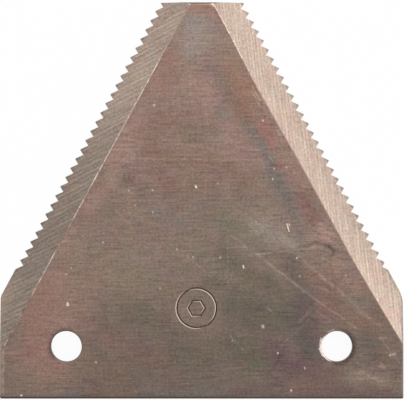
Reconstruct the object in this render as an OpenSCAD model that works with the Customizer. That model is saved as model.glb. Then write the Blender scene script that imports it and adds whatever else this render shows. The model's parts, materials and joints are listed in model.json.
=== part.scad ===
// Mower sickle section: a flat steel blade, ground to a bevel along two slanting edges and
// serrated from below, that is riveted to the back of a reciprocating mower knife.
// The origin lies midway between the rivet holes, on the flat underside. +X runs along the
// knife back, +Y towards the blunt tip and +Z out of the bevelled face.

/* [Blank] */
// Width across the base, along the knife back
section_width = 75.7; // [70:0.1:84]
// Length from the base edge to the tip
section_length = 74.4; // [66:0.1:88]
// Thickness of the plate
thickness = 2; // [1.6:0.1:3]
// Width of the blunt tip, between the lines of the cutting edges
tip_width = 15.7; // [13:0.1:24]
// Height of the straight sides, from the base edge to the shoulders
side_height = 19.1; // [16:0.1:26]
// Radius of the left shoulder, where the side turns into the cutting edge
left_shoulder_radius = 2; // [0.5:0.1:8]
// Radius of the right shoulder, rounder than the left one
right_shoulder_radius = 6; // [0.5:0.1:8]
// Radius of the two base corners
corner_radius = 0.4; // [0.1:0.1:3]
// Rolled-over break along the blanked edges of the upper face
edge_break = 0.25; // [0.05:0.05:0.6]

/* [Cutting edges] */
// Width of each ground bevel, square to its cutting edge
bevel_width = 5.1; // [3:0.1:6]
// Thickness left at the cutting edge, under the bevel
edge_land = 0.15; // [0.05:0.01:0.4]

/* [Serration] */
// Spacing of the teeth along the cutting edge
tooth_pitch = 1.975; // [1.2:0.005:3]
// Thickness left at the point of each tooth
tooth_land = 0.03; // [0.01:0.01:0.05]
// Opening angle of the grooves pressed into the underside
groove_angle = 126; // [120:1:145]
// Turn of the grooves from square to the edge, towards the tip
groove_turn = 18; // [0:1:30]
// Rise of the grooves towards the cutting edge
groove_rise = 5.6; // [3:0.1:9]
// Distance along the left edge from the tip to its first groove
left_first_groove = 0.75; // [0.2:0.05:6]
// Distance along the right edge from the tip to its first groove
right_first_groove = 1.1; // [0.2:0.05:6]
// Least length of plain edge between the last full groove and the shoulder
plain_edge = 6.7; // [3:0.1:20]
// Depth that the one shallow groove lacks, in which the serration of the right edge runs out
run_out_shortfall = 0.11; // [0.02:0.01:0.18]

/* [Rivet holes] */
// Spacing of the rivet holes
hole_spacing = 50.8; // [40:0.1:58]
// Diameter of the rivet holes
hole_diameter = 5.8; // [4.5:0.1:8]
// Distance of the rivet holes from the base edge
hole_setback = 9.8; // [7:0.1:13]
// Rolled-over break around the top of each rivet hole
hole_break = 0.2; // [0.05:0.05:0.5]

/* [Stamp] */
// Diameter of the stamped ring, at the middle of its line
stamp_diameter = 7.4; // [4:0.1:10]
// Width of the stamped lines
stamp_line = 0.4; // [0.2:0.05:0.8]
// Depth of the stamped lines
stamp_depth = 0.12; // [0.05:0.01:0.3]
// Width across the corners of the plain hexagon in the ring
stamp_hexagon = 3.6; // [2:0.1:5]
// Place of the stamp to the left of the centre line
stamp_shift = 1; // [0:0.1:5]
// Place of the stamp above the line of the rivet holes
stamp_height = 7.2; // [5:0.1:20]

/* [Hidden] */
$fn = 96;

// Margin by which a cutting shape runs past the plate
reach = 2;

base_y = -hole_setback;
tip_y = base_y + section_length;
shoulder_y = base_y + side_height;
half_width = section_width / 2;
half_tip = tip_width / 2;

// Lean of each cutting edge from the centre line, and its length from tip to shoulder
edge_lean = atan2(half_width - half_tip, tip_y - shoulder_y);
edge_length = norm([half_width - half_tip, tip_y - shoulder_y]);
bevel_angle = atan2(thickness - edge_land, bevel_width);

// Slopes of the bevel, of the groove floor and of the groove flanks
bevel_slope = tan(bevel_angle);
floor_slope = tan(groove_rise);
flank_slope = 1 / tan(groove_angle / 2) / cos(groove_rise);

// A groove flank and the bevel meet in the outline of a tooth: the set-back of the outline for
// each step along the edge, on the side of the tip and on the side of the shoulder
turned_slope = bevel_slope + floor_slope * cos(groove_turn);
tip_flank = (flank_slope * cos(groove_turn) + floor_slope * sin(groove_turn))
    / (turned_slope - flank_slope * sin(groove_turn));
shoulder_flank = (flank_slope * cos(groove_turn) - floor_slope * sin(groove_turn))
    / (turned_slope + flank_slope * sin(groove_turn));

// Depth of the teeth in the outline, and of the grooves where they leave the plate
tooth_depth = tooth_pitch / (1 / tip_flank + 1 / shoulder_flank);
groove_depth = edge_land - tooth_land
    + tooth_depth * (bevel_slope + floor_slope / cos(groove_turn));
groove_length = groove_depth / floor_slope;

// Number of full grooves on an edge, from the first one to the plain edge
function groove_count(first_groove) =
    floor((edge_length - plain_edge - first_groove) / tooth_pitch) + 1;

// Steps in each arc of the outline
arc_steps = 9;

function unit(v) = v / norm(v);

// Points along the arc that rounds the corner at b, going anticlockwise from a to c
function corner_arc(a, b, c, radius) =
    let (to_a = unit(a - b), to_c = unit(c - b))
    let (half_angle = acos(to_a * to_c) / 2)
    let (middle = b + unit(to_a + to_c) * radius / sin(half_angle))
    let (start = atan2(to_a.x, -to_a.y), turn = 180 - 2 * half_angle)
    [
        for (i = [0 : arc_steps])
            let (angle = start + turn * i / arc_steps)
            middle + radius * [cos(angle), sin(angle)]
    ];

// Outline of the blank, before the teeth are cut
module outline() {
    left_base = [-half_width, base_y];
    right_base = [half_width, base_y];
    right_shoulder = [half_width, shoulder_y];
    right_tip = [half_tip, tip_y];
    left_tip = [-half_tip, tip_y];
    left_shoulder = [-half_width, shoulder_y];
    polygon(concat(
        corner_arc(left_shoulder, left_base, right_base, corner_radius),
        corner_arc(left_base, right_base, right_shoulder, corner_radius),
        corner_arc(right_base, right_shoulder, right_tip, right_shoulder_radius),
        [right_tip, left_tip],
        corner_arc(left_tip, left_shoulder, left_base, left_shoulder_radius)
    ));
}

// Sets its children on the right cutting edge, at a distance along it from the tip.
// Their X then points square into the plate and their Y along the edge to the shoulder.
module on_edge(distance) {
    translate([half_tip + distance * sin(edge_lean), tip_y - distance * cos(edge_lean), 0])
        rotate([0, 0, 180 + edge_lean])
            children();
}

// Everything above the ground face of the right bevel
module bevel_cut() {
    run_out = bevel_width / tan(edge_lean);
    on_edge(0)
        translate([0, -bevel_width, edge_land])
            rotate([0, -bevel_angle, 0])
                translate([-section_width, 0, 0])
                    cube([
                        section_width + 2 * bevel_width,
                        edge_length + run_out + 2 * bevel_width,
                        section_width
                    ]);
}

// One groove: a V that is deepest at the cutting edge and runs out inside the plate
module groove_cut() {
    start = -reach;
    span = groove_length / cos(groove_rise) + 2 * reach;
    height = groove_depth + 2 * reach * floor_slope + reach;
    half_breadth = height * tan(groove_angle / 2);
    rotate([0, 0, -groove_turn])
        translate([0, 0, groove_depth])
            rotate([0, groove_rise, 0])
                translate([start, 0, 0])
                    rotate([90, 0, 90])
                        linear_extrude(span)
                            polygon([[0, 0], [-half_breadth, -height], [half_breadth, -height]]);
}

// The bevel and the row of grooves of the right cutting edge
module cutting_edge_cut(first_groove) {
    bevel_cut();
    for (i = [0 : groove_count(first_groove) - 1])
        on_edge(first_groove + i * tooth_pitch)
            groove_cut();
}

// The shallow groove in which the serration of the right edge runs out
module run_out_cut() {
    on_edge(right_first_groove + groove_count(right_first_groove) * tooth_pitch)
        translate([0, 0, -run_out_shortfall])
            groove_cut();
}

// Break along the top of one straight blanked edge, which runs along X through the origin
module break_cut(length) {
    translate([0, 0, thickness - edge_break])
        rotate([45, 0, 0])
            translate([-length, -section_width, 0])
                cube([2 * length, 2 * section_width, section_width]);
}

// Breaks along the base, the two sides and the tip
module edge_break_cuts() {
    translate([0, base_y, 0])
        break_cut(section_width);
    translate([0, tip_y, 0])
        rotate([0, 0, 180])
            break_cut(section_width);
    for (side = [-1, 1])
        translate([side * half_width, 0, 0])
            rotate([0, 0, side * 90])
                break_cut(section_length);
}

// A rivet hole with the break around its upper rim
module rivet_hole_cut() {
    hole_radius = hole_diameter / 2;
    translate([0, 0, -reach])
        cylinder(h = thickness + 2 * reach, r = hole_radius);
    translate([0, 0, thickness - hole_break])
        cylinder(h = 2 * hole_break, r1 = hole_radius, r2 = hole_radius + 2 * hole_break);
}

// A plain stamped ring around a plain stamped hexagon
module stamp_cut() {
    translate([-stamp_shift, stamp_height, thickness]) {
        rotate_extrude()
            translate([stamp_diameter / 2, 0])
                polygon([[0, -stamp_depth], [stamp_line, stamp_depth], [-stamp_line, stamp_depth]]);
        translate([0, 0, -stamp_depth])
            linear_extrude(2 * stamp_depth)
                difference() {
                    circle(d = stamp_hexagon, $fn = 6);
                    circle(d = stamp_hexagon - 2 * stamp_line, $fn = 6);
                }
    }
}

module sickle_section() {
    color([0.52, 0.44, 0.40])
        difference() {
            linear_extrude(thickness)
                outline();
            cutting_edge_cut(right_first_groove);
            run_out_cut();
            mirror([1, 0, 0])
                cutting_edge_cut(left_first_groove);
            edge_break_cuts();
            for (side = [-1, 1])
                translate([side * hole_spacing / 2, 0, 0])
                    rivet_hole_cut();
            stamp_cut();
        }
}

sickle_section();
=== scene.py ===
"""Dresses the mower sickle section: a tarnished steel blade with ground bevels and pressed teeth.

The CAD frame gives the blade's box and its rivet holes. The blade is made again here in
millimetres, with rolled-over edges, highlighted ridges and a finish for each of its surfaces;
some finishes paint light and shade into their colour.
"""

import json
import logging
import math
from dataclasses import dataclass, field
from enum import Enum, IntEnum
from typing import NamedTuple

import bmesh
import bpy
from mathutils import Matrix, Vector, noise


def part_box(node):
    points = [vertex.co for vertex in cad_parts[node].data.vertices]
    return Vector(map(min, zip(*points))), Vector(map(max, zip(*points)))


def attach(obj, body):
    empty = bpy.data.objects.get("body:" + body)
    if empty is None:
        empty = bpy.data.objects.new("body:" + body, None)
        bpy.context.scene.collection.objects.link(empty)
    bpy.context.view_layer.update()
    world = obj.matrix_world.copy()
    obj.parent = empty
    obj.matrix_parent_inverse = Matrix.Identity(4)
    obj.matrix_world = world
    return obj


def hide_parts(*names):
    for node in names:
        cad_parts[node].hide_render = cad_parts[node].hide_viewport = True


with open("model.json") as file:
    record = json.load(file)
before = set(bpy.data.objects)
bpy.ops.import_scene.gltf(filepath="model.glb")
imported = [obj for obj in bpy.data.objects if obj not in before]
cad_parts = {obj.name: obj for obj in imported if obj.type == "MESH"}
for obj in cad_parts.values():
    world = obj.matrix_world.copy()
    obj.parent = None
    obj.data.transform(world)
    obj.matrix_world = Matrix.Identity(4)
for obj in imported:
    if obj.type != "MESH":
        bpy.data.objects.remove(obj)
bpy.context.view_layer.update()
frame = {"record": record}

MM = 0.001
NODE = "sickle_section"
log = logging.getLogger(NODE)

Socket = bpy.types.NodeSocket
Feed = Socket | float | tuple[float, ...] | Vector
Place = tuple[float, float]
Triple = tuple[float, float, float]
MeshPart = bmesh.types.BMVert | bmesh.types.BMEdge | bmesh.types.BMFace

# Keeps the division by a line's squared length safe where the line is a dot
LEAST_SQUARE = 1e-6


class Side(IntEnum):
    """The two cutting edges, as the sign of X on that side."""

    LEFT = -1
    RIGHT = 1


class Zone(IntEnum):
    """Surfaces of the blank with a finish of their own, as the number of the material slot."""

    FACE = 0
    LEFT_BEVEL = 1
    RIGHT_BEVEL = 2
    RIDGE = 3
    SHEARED = 4
    UNDERSIDE = 5
    ROLLED = 6


class Tone(Enum):
    """Colours of the steel and of its tarnish, and of painted highlights and shade, as 8-bit sRGB."""

    UPPER = (149, 124, 114)
    MIDDLE = (140, 120, 109)
    LOWER = (119, 104, 95)
    ASH = (156, 143, 136)
    ROSE = (157, 124, 115)
    BLUSH = (166, 136, 127)
    COPPER = (157, 114, 103)
    RUST = (158, 101, 91)
    AMBER = (150, 112, 92)
    SAND = (141, 123, 109)
    UMBER = (133, 106, 92)
    WINE = (130, 95, 92)
    PLUM = (110, 90, 90)
    OLIVE = (123, 115, 101)
    MOSS = (105, 98, 86)
    TEAL = (116, 113, 108)
    CLAY = (149, 123, 112)
    DUSK = (98, 93, 87)
    SOOT = (74, 65, 61)
    CREAM = (216, 196, 182)
    # The colour of painted highlights and glints
    GLINT = (252, 236, 222)
    GROUND = (187, 168, 154)
    GROUND_ROSE = (176, 151, 138)
    DULL = (127, 120, 113)
    VERDIGRIS = (170, 162, 148)
    MILL = (118, 106, 98)

    @property
    def rgb(self) -> Vector:
        """The tone as linear red, green and blue."""
        return Vector([linear(channel / 255) for channel in self.value])


class Ramp(NamedTuple):
    """A smooth passage from one number to another, as a value crosses a range."""

    low: float
    high: float
    bottom: float = 0.0
    top: float = 1.0


# The two sides of the blade, across X
LEFT_HALF = Ramp(-1.0, 1.0, 1.0, 0.0)
RIGHT_HALF = Ramp(-1.0, 1.0)


def linear(value: float) -> float:
    """Turns one sRGB channel into linear light.

    Args:
        value: The channel, from 0 to 1.

    Returns:
        The linear value, from 0 to 1.
    """
    if value <= 0.04045:
        return value / 12.92
    return ((value + 0.055) / 1.055) ** 2.4


def smooth(value: float, low: float, high: float) -> float:
    """Goes smoothly from 0 to 1 as a value passes a range.

    Args:
        value: The value.
        low: The start of the range.
        high: The end of the range.

    Returns:
        The share, from 0 to 1.
    """
    share = min(max((value - low) / (high - low), 0.0), 1.0)
    return share * share * (3.0 - 2.0 * share)


class Graph:
    """A short way to write one node tree."""

    def __init__(self, tree: bpy.types.NodeTree) -> None:
        """Keeps the tree that nodes are added to."""
        self.tree = tree

    def feed(self, socket: Socket, value: Feed) -> None:
        """Links a socket to another one, or sets its own value.

        Args:
            socket: The input socket.
            value: An output socket, a number or a tuple.
        """
        if isinstance(value, bpy.types.NodeSocket):
            self.tree.links.new(value, socket)
        else:
            socket.default_value = value

    def add(
        self, kind: str, feeds: dict[str | int, Feed] | None = None, **settings: object
    ) -> bpy.types.Node:
        """Adds a node.

        Args:
            kind: The node's type.
            feeds: What goes into its sockets, by name or number.
            **settings: The node's own properties.

        Returns:
            The new node.
        """
        node = self.tree.nodes.new(kind)
        for name, value in settings.items():
            setattr(node, name, value)
        for key, value in (feeds or {}).items():
            self.feed(node.inputs[key], value)
        return node

    def math(self, operation: str, first: Feed, second: Feed = 0.0) -> Socket:
        """Joins two numbers.

        Args:
            operation: The Math node's operation.
            first: The first number.
            second: The second number.

        Returns:
            The result's socket.
        """
        return self.add("ShaderNodeMath", {0: first, 1: second}, operation=operation).outputs[0]

    def vector(self, operation: str, first: Feed, second: Feed = (0.0, 0.0, 0.0)) -> bpy.types.Node:
        """Joins two vectors.

        Args:
            operation: The Vector Math node's operation.
            first: The first vector.
            second: The second vector.

        Returns:
            The node, whose output 0 is a vector and output 1 a number.
        """
        return self.add("ShaderNodeVectorMath", {0: first, 1: second}, operation=operation)

    def scale(self, vector: Feed, factor: Feed) -> Socket:
        """Multiplies a vector or a colour by a number.

        Args:
            vector: The vector or colour.
            factor: The number.

        Returns:
            The result's socket.
        """
        return self.add("ShaderNodeVectorMath", {0: vector, 3: factor}, operation="SCALE").outputs[0]

    def step(self, value: Feed, low: Feed, high: Feed, bottom: Feed = 0.0, top: Feed = 1.0) -> Socket:
        """Goes smoothly from one number to another as a value passes a range.

        Args:
            value: The value.
            low: The start of the range.
            high: The end of the range.
            bottom: The result at the start.
            top: The result at the end.

        Returns:
            The result's socket.
        """
        feeds = {0: value, 1: low, 2: high, 3: bottom, 4: top}
        passage = self.add("ShaderNodeMapRange", feeds, interpolation_type="SMOOTHSTEP", clamp=False)
        return passage.outputs[0]

    def mix(self, factor: Feed, first: Feed, second: Feed) -> Socket:
        """Blends two colours, as vectors.

        Args:
            factor: How much of the second colour shows, from 0 to 1.
            first: The first colour.
            second: The second colour.

        Returns:
            The colour's socket.
        """
        feeds = {0: factor, 4: first, 5: second}
        return self.add("ShaderNodeMix", feeds, data_type="VECTOR").outputs[1]

    def noise(
        self, place: Socket, scale: float, detail: float = 2.0, roughness: float = 0.5
    ) -> bpy.types.Node:
        """Adds a noise texture.

        Args:
            place: The coordinates.
            scale: Its frequency, for each unit of the coordinates.
            detail: The number of finer layers.
            roughness: The strength of the finer layers.

        Returns:
            The node, whose output 0 is a number and output 1 a colour.
        """
        feeds = {"Vector": place, "Scale": scale, "Detail": detail, "Roughness": roughness}
        return self.add("ShaderNodeTexNoise", feeds)

    def wander(self, place: Socket, scale: float) -> Socket:
        """Adds a noise that strays by itself in three directions.

        Args:
            place: The coordinates.
            scale: Its frequency, for each unit of the coordinates.

        Returns:
            The noise as a vector, about 0.
        """
        hues = self.noise(place, scale).outputs[1]
        red, green, blue = self.add("ShaderNodeSeparateColor", {0: hues}).outputs
        strayed = self.add("ShaderNodeCombineXYZ", {0: red, 1: green, 2: blue}).outputs[0]
        return self.vector("SUBTRACT", strayed, (0.5, 0.5, 0.5)).outputs[0]

    def turned(self, place: Socket, angle: float, stretch: Place) -> Socket:
        """Turns coordinates in plan, then scales them, so that noise on them becomes streaks.

        Args:
            place: The coordinates.
            angle: The direction of the streaks from X, in degrees.
            stretch: The frequency along the streaks and across them.

        Returns:
            The new coordinates' socket.
        """
        turn = {"Vector": place, "Rotation": (0.0, 0.0, -math.radians(angle))}
        spun = self.add("ShaderNodeMapping", turn, vector_type="POINT").outputs[0]
        return self.vector("MULTIPLY", spun, (*stretch, 1.0)).outputs[0]

    def streaks(self, place: Socket, angle: float, stretch: Place, detail: float = 3.0) -> Socket:
        """Adds long noise along one direction.

        Args:
            place: The coordinates.
            angle: The direction from X, in degrees.
            stretch: The frequency along the streaks and across them.
            detail: The number of finer layers.

        Returns:
            The noise, about 0.5 on average.
        """
        return self.noise(self.turned(place, angle, stretch), 1.0, detail, roughness=0.6).outputs[0]

    def ripples(self, place: Socket, angle: float, period: float, waver: float) -> Socket:
        """Adds evenly spaced long marks along one direction.

        Args:
            place: The coordinates.
            angle: The direction of the marks from X, in degrees.
            period: The spacing of the marks.
            waver: How unevenly they run.

        Returns:
            The marks, from 0 to 1.
        """
        built_in_scale = 20.0
        drawn_out = (0.12, 1.0)
        feeds = {
            "Vector": self.turned(place, angle, drawn_out),
            "Scale": math.tau / built_in_scale / period,
            "Distortion": waver,
            "Detail": 2.0,
            "Detail Scale": 1.4,
        }
        marks = self.add("ShaderNodeTexWave", feeds, wave_type="BANDS", bands_direction="Y")
        return marks.outputs["Fac"]

    def centred(self, value: Socket, amount: Feed) -> Socket:
        """Takes noise about 0.5 to noise about 0, at a given strength.

        Args:
            value: The noise.
            amount: The strength.

        Returns:
            The scaled noise.
        """
        return self.math("MULTIPLY", self.math("SUBTRACT", value, 0.5), amount)

    def total(self, *values: Feed) -> Socket:
        """Adds numbers up.

        Args:
            *values: The numbers.

        Returns:
            Their sum's socket.
        """
        result = values[0]
        for value in values[1:]:
            result = self.math("ADD", result, value)
        return result

    def mottled(self, colour: Feed, place: Socket, scale: float, amount: float) -> Socket:
        """Shifts a colour's hue a little from place to place.

        Args:
            colour: The colour.
            place: The coordinates.
            scale: The frequency of the patches.
            amount: The strength.

        Returns:
            The new colour's socket.
        """
        hues = self.scale(self.wander(place, scale), amount)
        gains = self.vector("ADD", hues, (1.0, 1.0, 1.0)).outputs[0]
        return self.vector("MULTIPLY", colour, gains).outputs[0]

    def millimetres(self) -> Socket:
        """The object's own coordinates, in millimetres."""
        return self.scale(self.add("ShaderNodeTexCoord").outputs["Object"], 1.0 / MM)

    def in_plan(self, place: Socket) -> Socket:
        """Coordinates with their height left out."""
        return self.vector("MULTIPLY", place, (1.0, 1.0, 0.0)).outputs[0]


def soft_mark_tree() -> bpy.types.NodeTree:
    """Makes the node group that draws a soft-edged mark along a line, once.

    Returns:
        The group, whose output is 1 on the line and 0 beyond its reach.
    """
    name = "soft_mark"
    if name in bpy.data.node_groups:
        return bpy.data.node_groups[name]
    tree = bpy.data.node_groups.new(name, "ShaderNodeTree")
    for label in ("Plan", "Start", "End"):
        tree.interface.new_socket(label, in_out="INPUT", socket_type="NodeSocketVector")
    for label in ("Core", "Reach"):
        tree.interface.new_socket(label, in_out="INPUT", socket_type="NodeSocketFloat")
    tree.interface.new_socket("Mask", in_out="OUTPUT", socket_type="NodeSocketFloat")
    graph = Graph(tree)
    given = graph.add("NodeGroupInput").outputs
    from_start = graph.vector("SUBTRACT", given["Plan"], given["Start"]).outputs[0]
    run = graph.vector("SUBTRACT", given["End"], given["Start"]).outputs[0]
    along = graph.vector("DOT_PRODUCT", from_start, run).outputs[1]
    square = graph.vector("DOT_PRODUCT", run, run).outputs[1]
    length = graph.math("MAXIMUM", square, LEAST_SQUARE)
    share = graph.math("MAXIMUM", graph.math("DIVIDE", along, length), 0.0)
    nearest = graph.scale(run, graph.math("MINIMUM", share, 1.0))
    away = graph.vector("SUBTRACT", from_start, nearest).outputs[0]
    distance = graph.vector("LENGTH", away).outputs[1]
    mask = graph.step(distance, given["Core"], given["Reach"], 1.0, 0.0)
    graph.add("NodeGroupOutput", {"Mask": mask})
    return tree


def soft_mark(graph: Graph, plan: Socket, start: Place, end: Place, core: float, reach: float) -> Socket:
    """Draws a soft-edged mark along a line in plan.

    Args:
        graph: The material's graph.
        plan: The coordinates in plan.
        start: Where the line starts.
        end: Where it ends.
        core: The distance from the line up to which the mark is full.
        reach: The distance beyond which there is none of it.

    Returns:
        The mark, from 0 to 1.
    """
    feeds = {"Plan": plan, "Start": (*start, 0.0), "End": (*end, 0.0), "Core": core, "Reach": reach}
    group = graph.add("ShaderNodeGroup", node_tree=soft_mark_tree())
    for label, value in feeds.items():
        graph.feed(group.inputs[label], value)
    return group.outputs["Mask"]


@dataclass(frozen=True)
class Grain:
    """Noise without a direction: its frequency for each millimetre, its fineness and strength."""

    frequency: float
    detail: float
    roughness: float = 0.5
    strength: float = 1.0

    def draw(self, graph: Graph, place: Socket) -> Socket:
        """Adds the noise, about 0.5 on average."""
        return graph.noise(place, self.frequency, self.detail, self.roughness).outputs[0]


@dataclass(frozen=True)
class Streaks:
    """Noise along one direction: degrees from X, frequencies along and across, fineness, strength."""

    angle: float
    stretch: Place
    detail: float
    strength: float = 1.0

    def draw(self, graph: Graph, place: Socket) -> Socket:
        """Adds the streaks, about 0.5 on average."""
        return graph.streaks(place, self.angle, self.stretch, self.detail)


@dataclass(frozen=True)
class Drift:
    """A slow stray of the stains: its size in millimetres, its frequency and its layer of noise."""

    size: float
    frequency: float
    layer: float

    def at(self, x: float, y: float) -> Vector:
        """The stray at one place in plan."""
        return self.size * noise.noise_vector(Vector((self.frequency * x, self.frequency * y, self.layer)))


@dataclass(frozen=True)
class Stain:
    """A broad soft patch of tarnish along a line in plan, in millimetres."""

    start: Place
    end: Place
    reach: float
    tone: Tone
    strength: float

    def lay(self, place: Vector, colour: Vector) -> Vector:
        """Lays the stain over the colour at one place.

        Args:
            place: The place in plan.
            colour: The colour so far.

        Returns:
            The new colour.
        """
        start = Vector(self.start)
        run = Vector(self.end) - start
        along = (place - start).dot(run) / max(run.length_squared, LEAST_SQUARE)
        share = min(max(along, 0.0), 1.0)
        distance = (place - start - share * run).length
        return colour.lerp(self.tone.rgb, self.strength * (1.0 - smooth(distance, 0.0, self.reach)))


@dataclass(frozen=True)
class SheenSmear:
    """A place where the tarnish is smeared into strokes, partly a painted sheen, in millimetres and
    degrees.
    """

    start: Place
    end: Place
    reach: float
    angle: float
    strength: float
    stretch: Place = (0.30, 1.5)
    detail: float = 3.0

    def draw_strokes(self, graph: Graph, plan: Socket) -> Socket:
        """Adds the strokes.

        Args:
            graph: The material's graph.
            plan: The coordinates in plan.

        Returns:
            The strokes, about 0.
        """
        strokes = graph.streaks(plan, self.angle, self.stretch, self.detail)
        mask = soft_mark(graph, plan, self.start, self.end, 0.0, self.reach)
        return graph.math("MULTIPLY", graph.centred(strokes, self.strength), mask)


@dataclass(frozen=True)
class Mark:
    """A scratch, scuff or speck: a thin line in plan, in millimetres."""

    start: Place
    end: Place
    reach: float
    tone: Tone
    strength: float
    core_share: float = 0.2

    def paint(self, graph: Graph, plan: Socket, colour: Socket, breakup: Feed = 1.0) -> Socket:
        """Lays the mark over a colour.

        Args:
            graph: The material's graph.
            plan: The coordinates in plan.
            colour: The colour so far.
            breakup: A number that thins the mark out, from 0 to 1.

        Returns:
            The new colour.
        """
        line = soft_mark(graph, plan, self.start, self.end, self.core_share * self.reach, self.reach)
        thinned = graph.math("MULTIPLY", line, breakup)
        return graph.mix(graph.math("MULTIPLY", thinned, self.strength), colour, self.tone.rgb)


@dataclass(frozen=True)
class HoleShade:
    """Painted shade: a dark arc round one side of a rivet hole, in millimetres."""

    centre: Place
    towards: Place
    strength: float
    rim: float = 3.2
    reach: float = 0.75
    facing: Ramp = Ramp(-0.25, 0.40)

    def paint(self, graph: Graph, plan: Socket, colour: Socket, breakup: Feed = 1.0) -> Socket:
        """Lays the painted shade over a colour.

        Args:
            graph: The material's graph.
            plan: The coordinates in plan.
            colour: The colour so far.
            breakup: A number that thins the shade out, from 0 to 1.

        Returns:
            The new colour.
        """
        spoke = graph.vector("SUBTRACT", plan, (*self.centre, 0.0)).outputs[0]
        distance = graph.vector("LENGTH", spoke).outputs[1]
        ring = graph.step(distance, self.rim, self.rim + self.reach, self.strength, 0.0)
        heading = graph.vector("NORMALIZE", spoke).outputs[0]
        facing = graph.vector("DOT_PRODUCT", heading, (*self.towards, 0.0)).outputs[1]
        arc = graph.math("MULTIPLY", ring, graph.step(facing, *self.facing))
        return graph.mix(graph.math("MULTIPLY", arc, breakup), colour, Tone.SOOT.rgb)


def scratch(start: Place, end: Place, strength: float) -> Mark:
    """A thin pale line across the face."""
    return Mark(start, end, reach=0.26, tone=Tone.CREAM, strength=strength)


def smudge(start: Place, end: Place, strength: float) -> Mark:
    """A broad faint pale stroke on the face."""
    return Mark(start, end, reach=0.55, tone=Tone.CREAM, strength=strength)


def scuff(start: Place, end: Place, strength: float) -> Mark:
    """A short dark stroke on the face."""
    return Mark(start, end, reach=0.50, tone=Tone.SOOT, strength=strength)


def speck(place: Place, size: float, strength: float, rise: float = 0.1) -> Mark:
    """A small dint, painted in the near-white glint colour as a highlight, drawn out along Y by a little
    rise and leaning to the left.
    """
    lean = 0.3 * rise
    return Mark(place, (place[0] - lean, place[1] + rise), size, Tone.GLINT, strength)


class Layers(NamedTuple):
    """What a finish is made of: the relief goes from 0 to 1, and its depth is in millimetres."""

    colour: Socket
    roughness: Socket
    relief: Socket
    relief_depth: float


@dataclass(frozen=True, kw_only=True)
class Finish:
    """A steel finish: one material with its colour, roughness and fine relief."""

    name: str
    roughness: float = 0.40
    roughness_spread: float = 0.20
    relief_depth: float = 0.004

    def material(self) -> bpy.types.Material:
        """Makes the material, or finds it if it is made already.

        Returns:
            The material.
        """
        if self.name in bpy.data.materials:
            return bpy.data.materials[self.name]
        material = bpy.data.materials.new(self.name)
        material.use_nodes = True
        material.node_tree.nodes.clear()
        graph = Graph(material.node_tree)
        layers = self.layers(graph, graph.millimetres())
        bump = graph.add("ShaderNodeBump", {
            "Height": layers.relief,
            "Strength": 1.0,
            "Distance": layers.relief_depth * MM,
        })
        shader = graph.add("ShaderNodeBsdfPrincipled", {
            "Base Color": layers.colour,
            "Metallic": 1.0,
            "Roughness": layers.roughness,
            "Normal": bump.outputs[0],
        })
        graph.add("ShaderNodeOutputMaterial", {"Surface": shader.outputs[0]})
        return material

    def finished(self, graph: Graph, colour: Socket, uneven: Socket, relief: Socket) -> Layers:
        """Puts a finish together.

        Args:
            graph: The material's graph.
            colour: The colour.
            uneven: The noise about 0.5 that the roughness follows.
            relief: The relief, from 0 to 1.

        Returns:
            The finish's layers.
        """
        roughness = graph.math("ADD", self.roughness, graph.centred(uneven, self.roughness_spread))
        return Layers(colour, roughness, relief, self.relief_depth)

    def layers(self, graph: Graph, place: Socket) -> Layers:
        """Builds up the finish.

        Args:
            graph: The material's graph.
            place: The object's coordinates in millimetres.

        Returns:
            The finish's layers.
        """
        raise NotImplementedError


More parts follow.
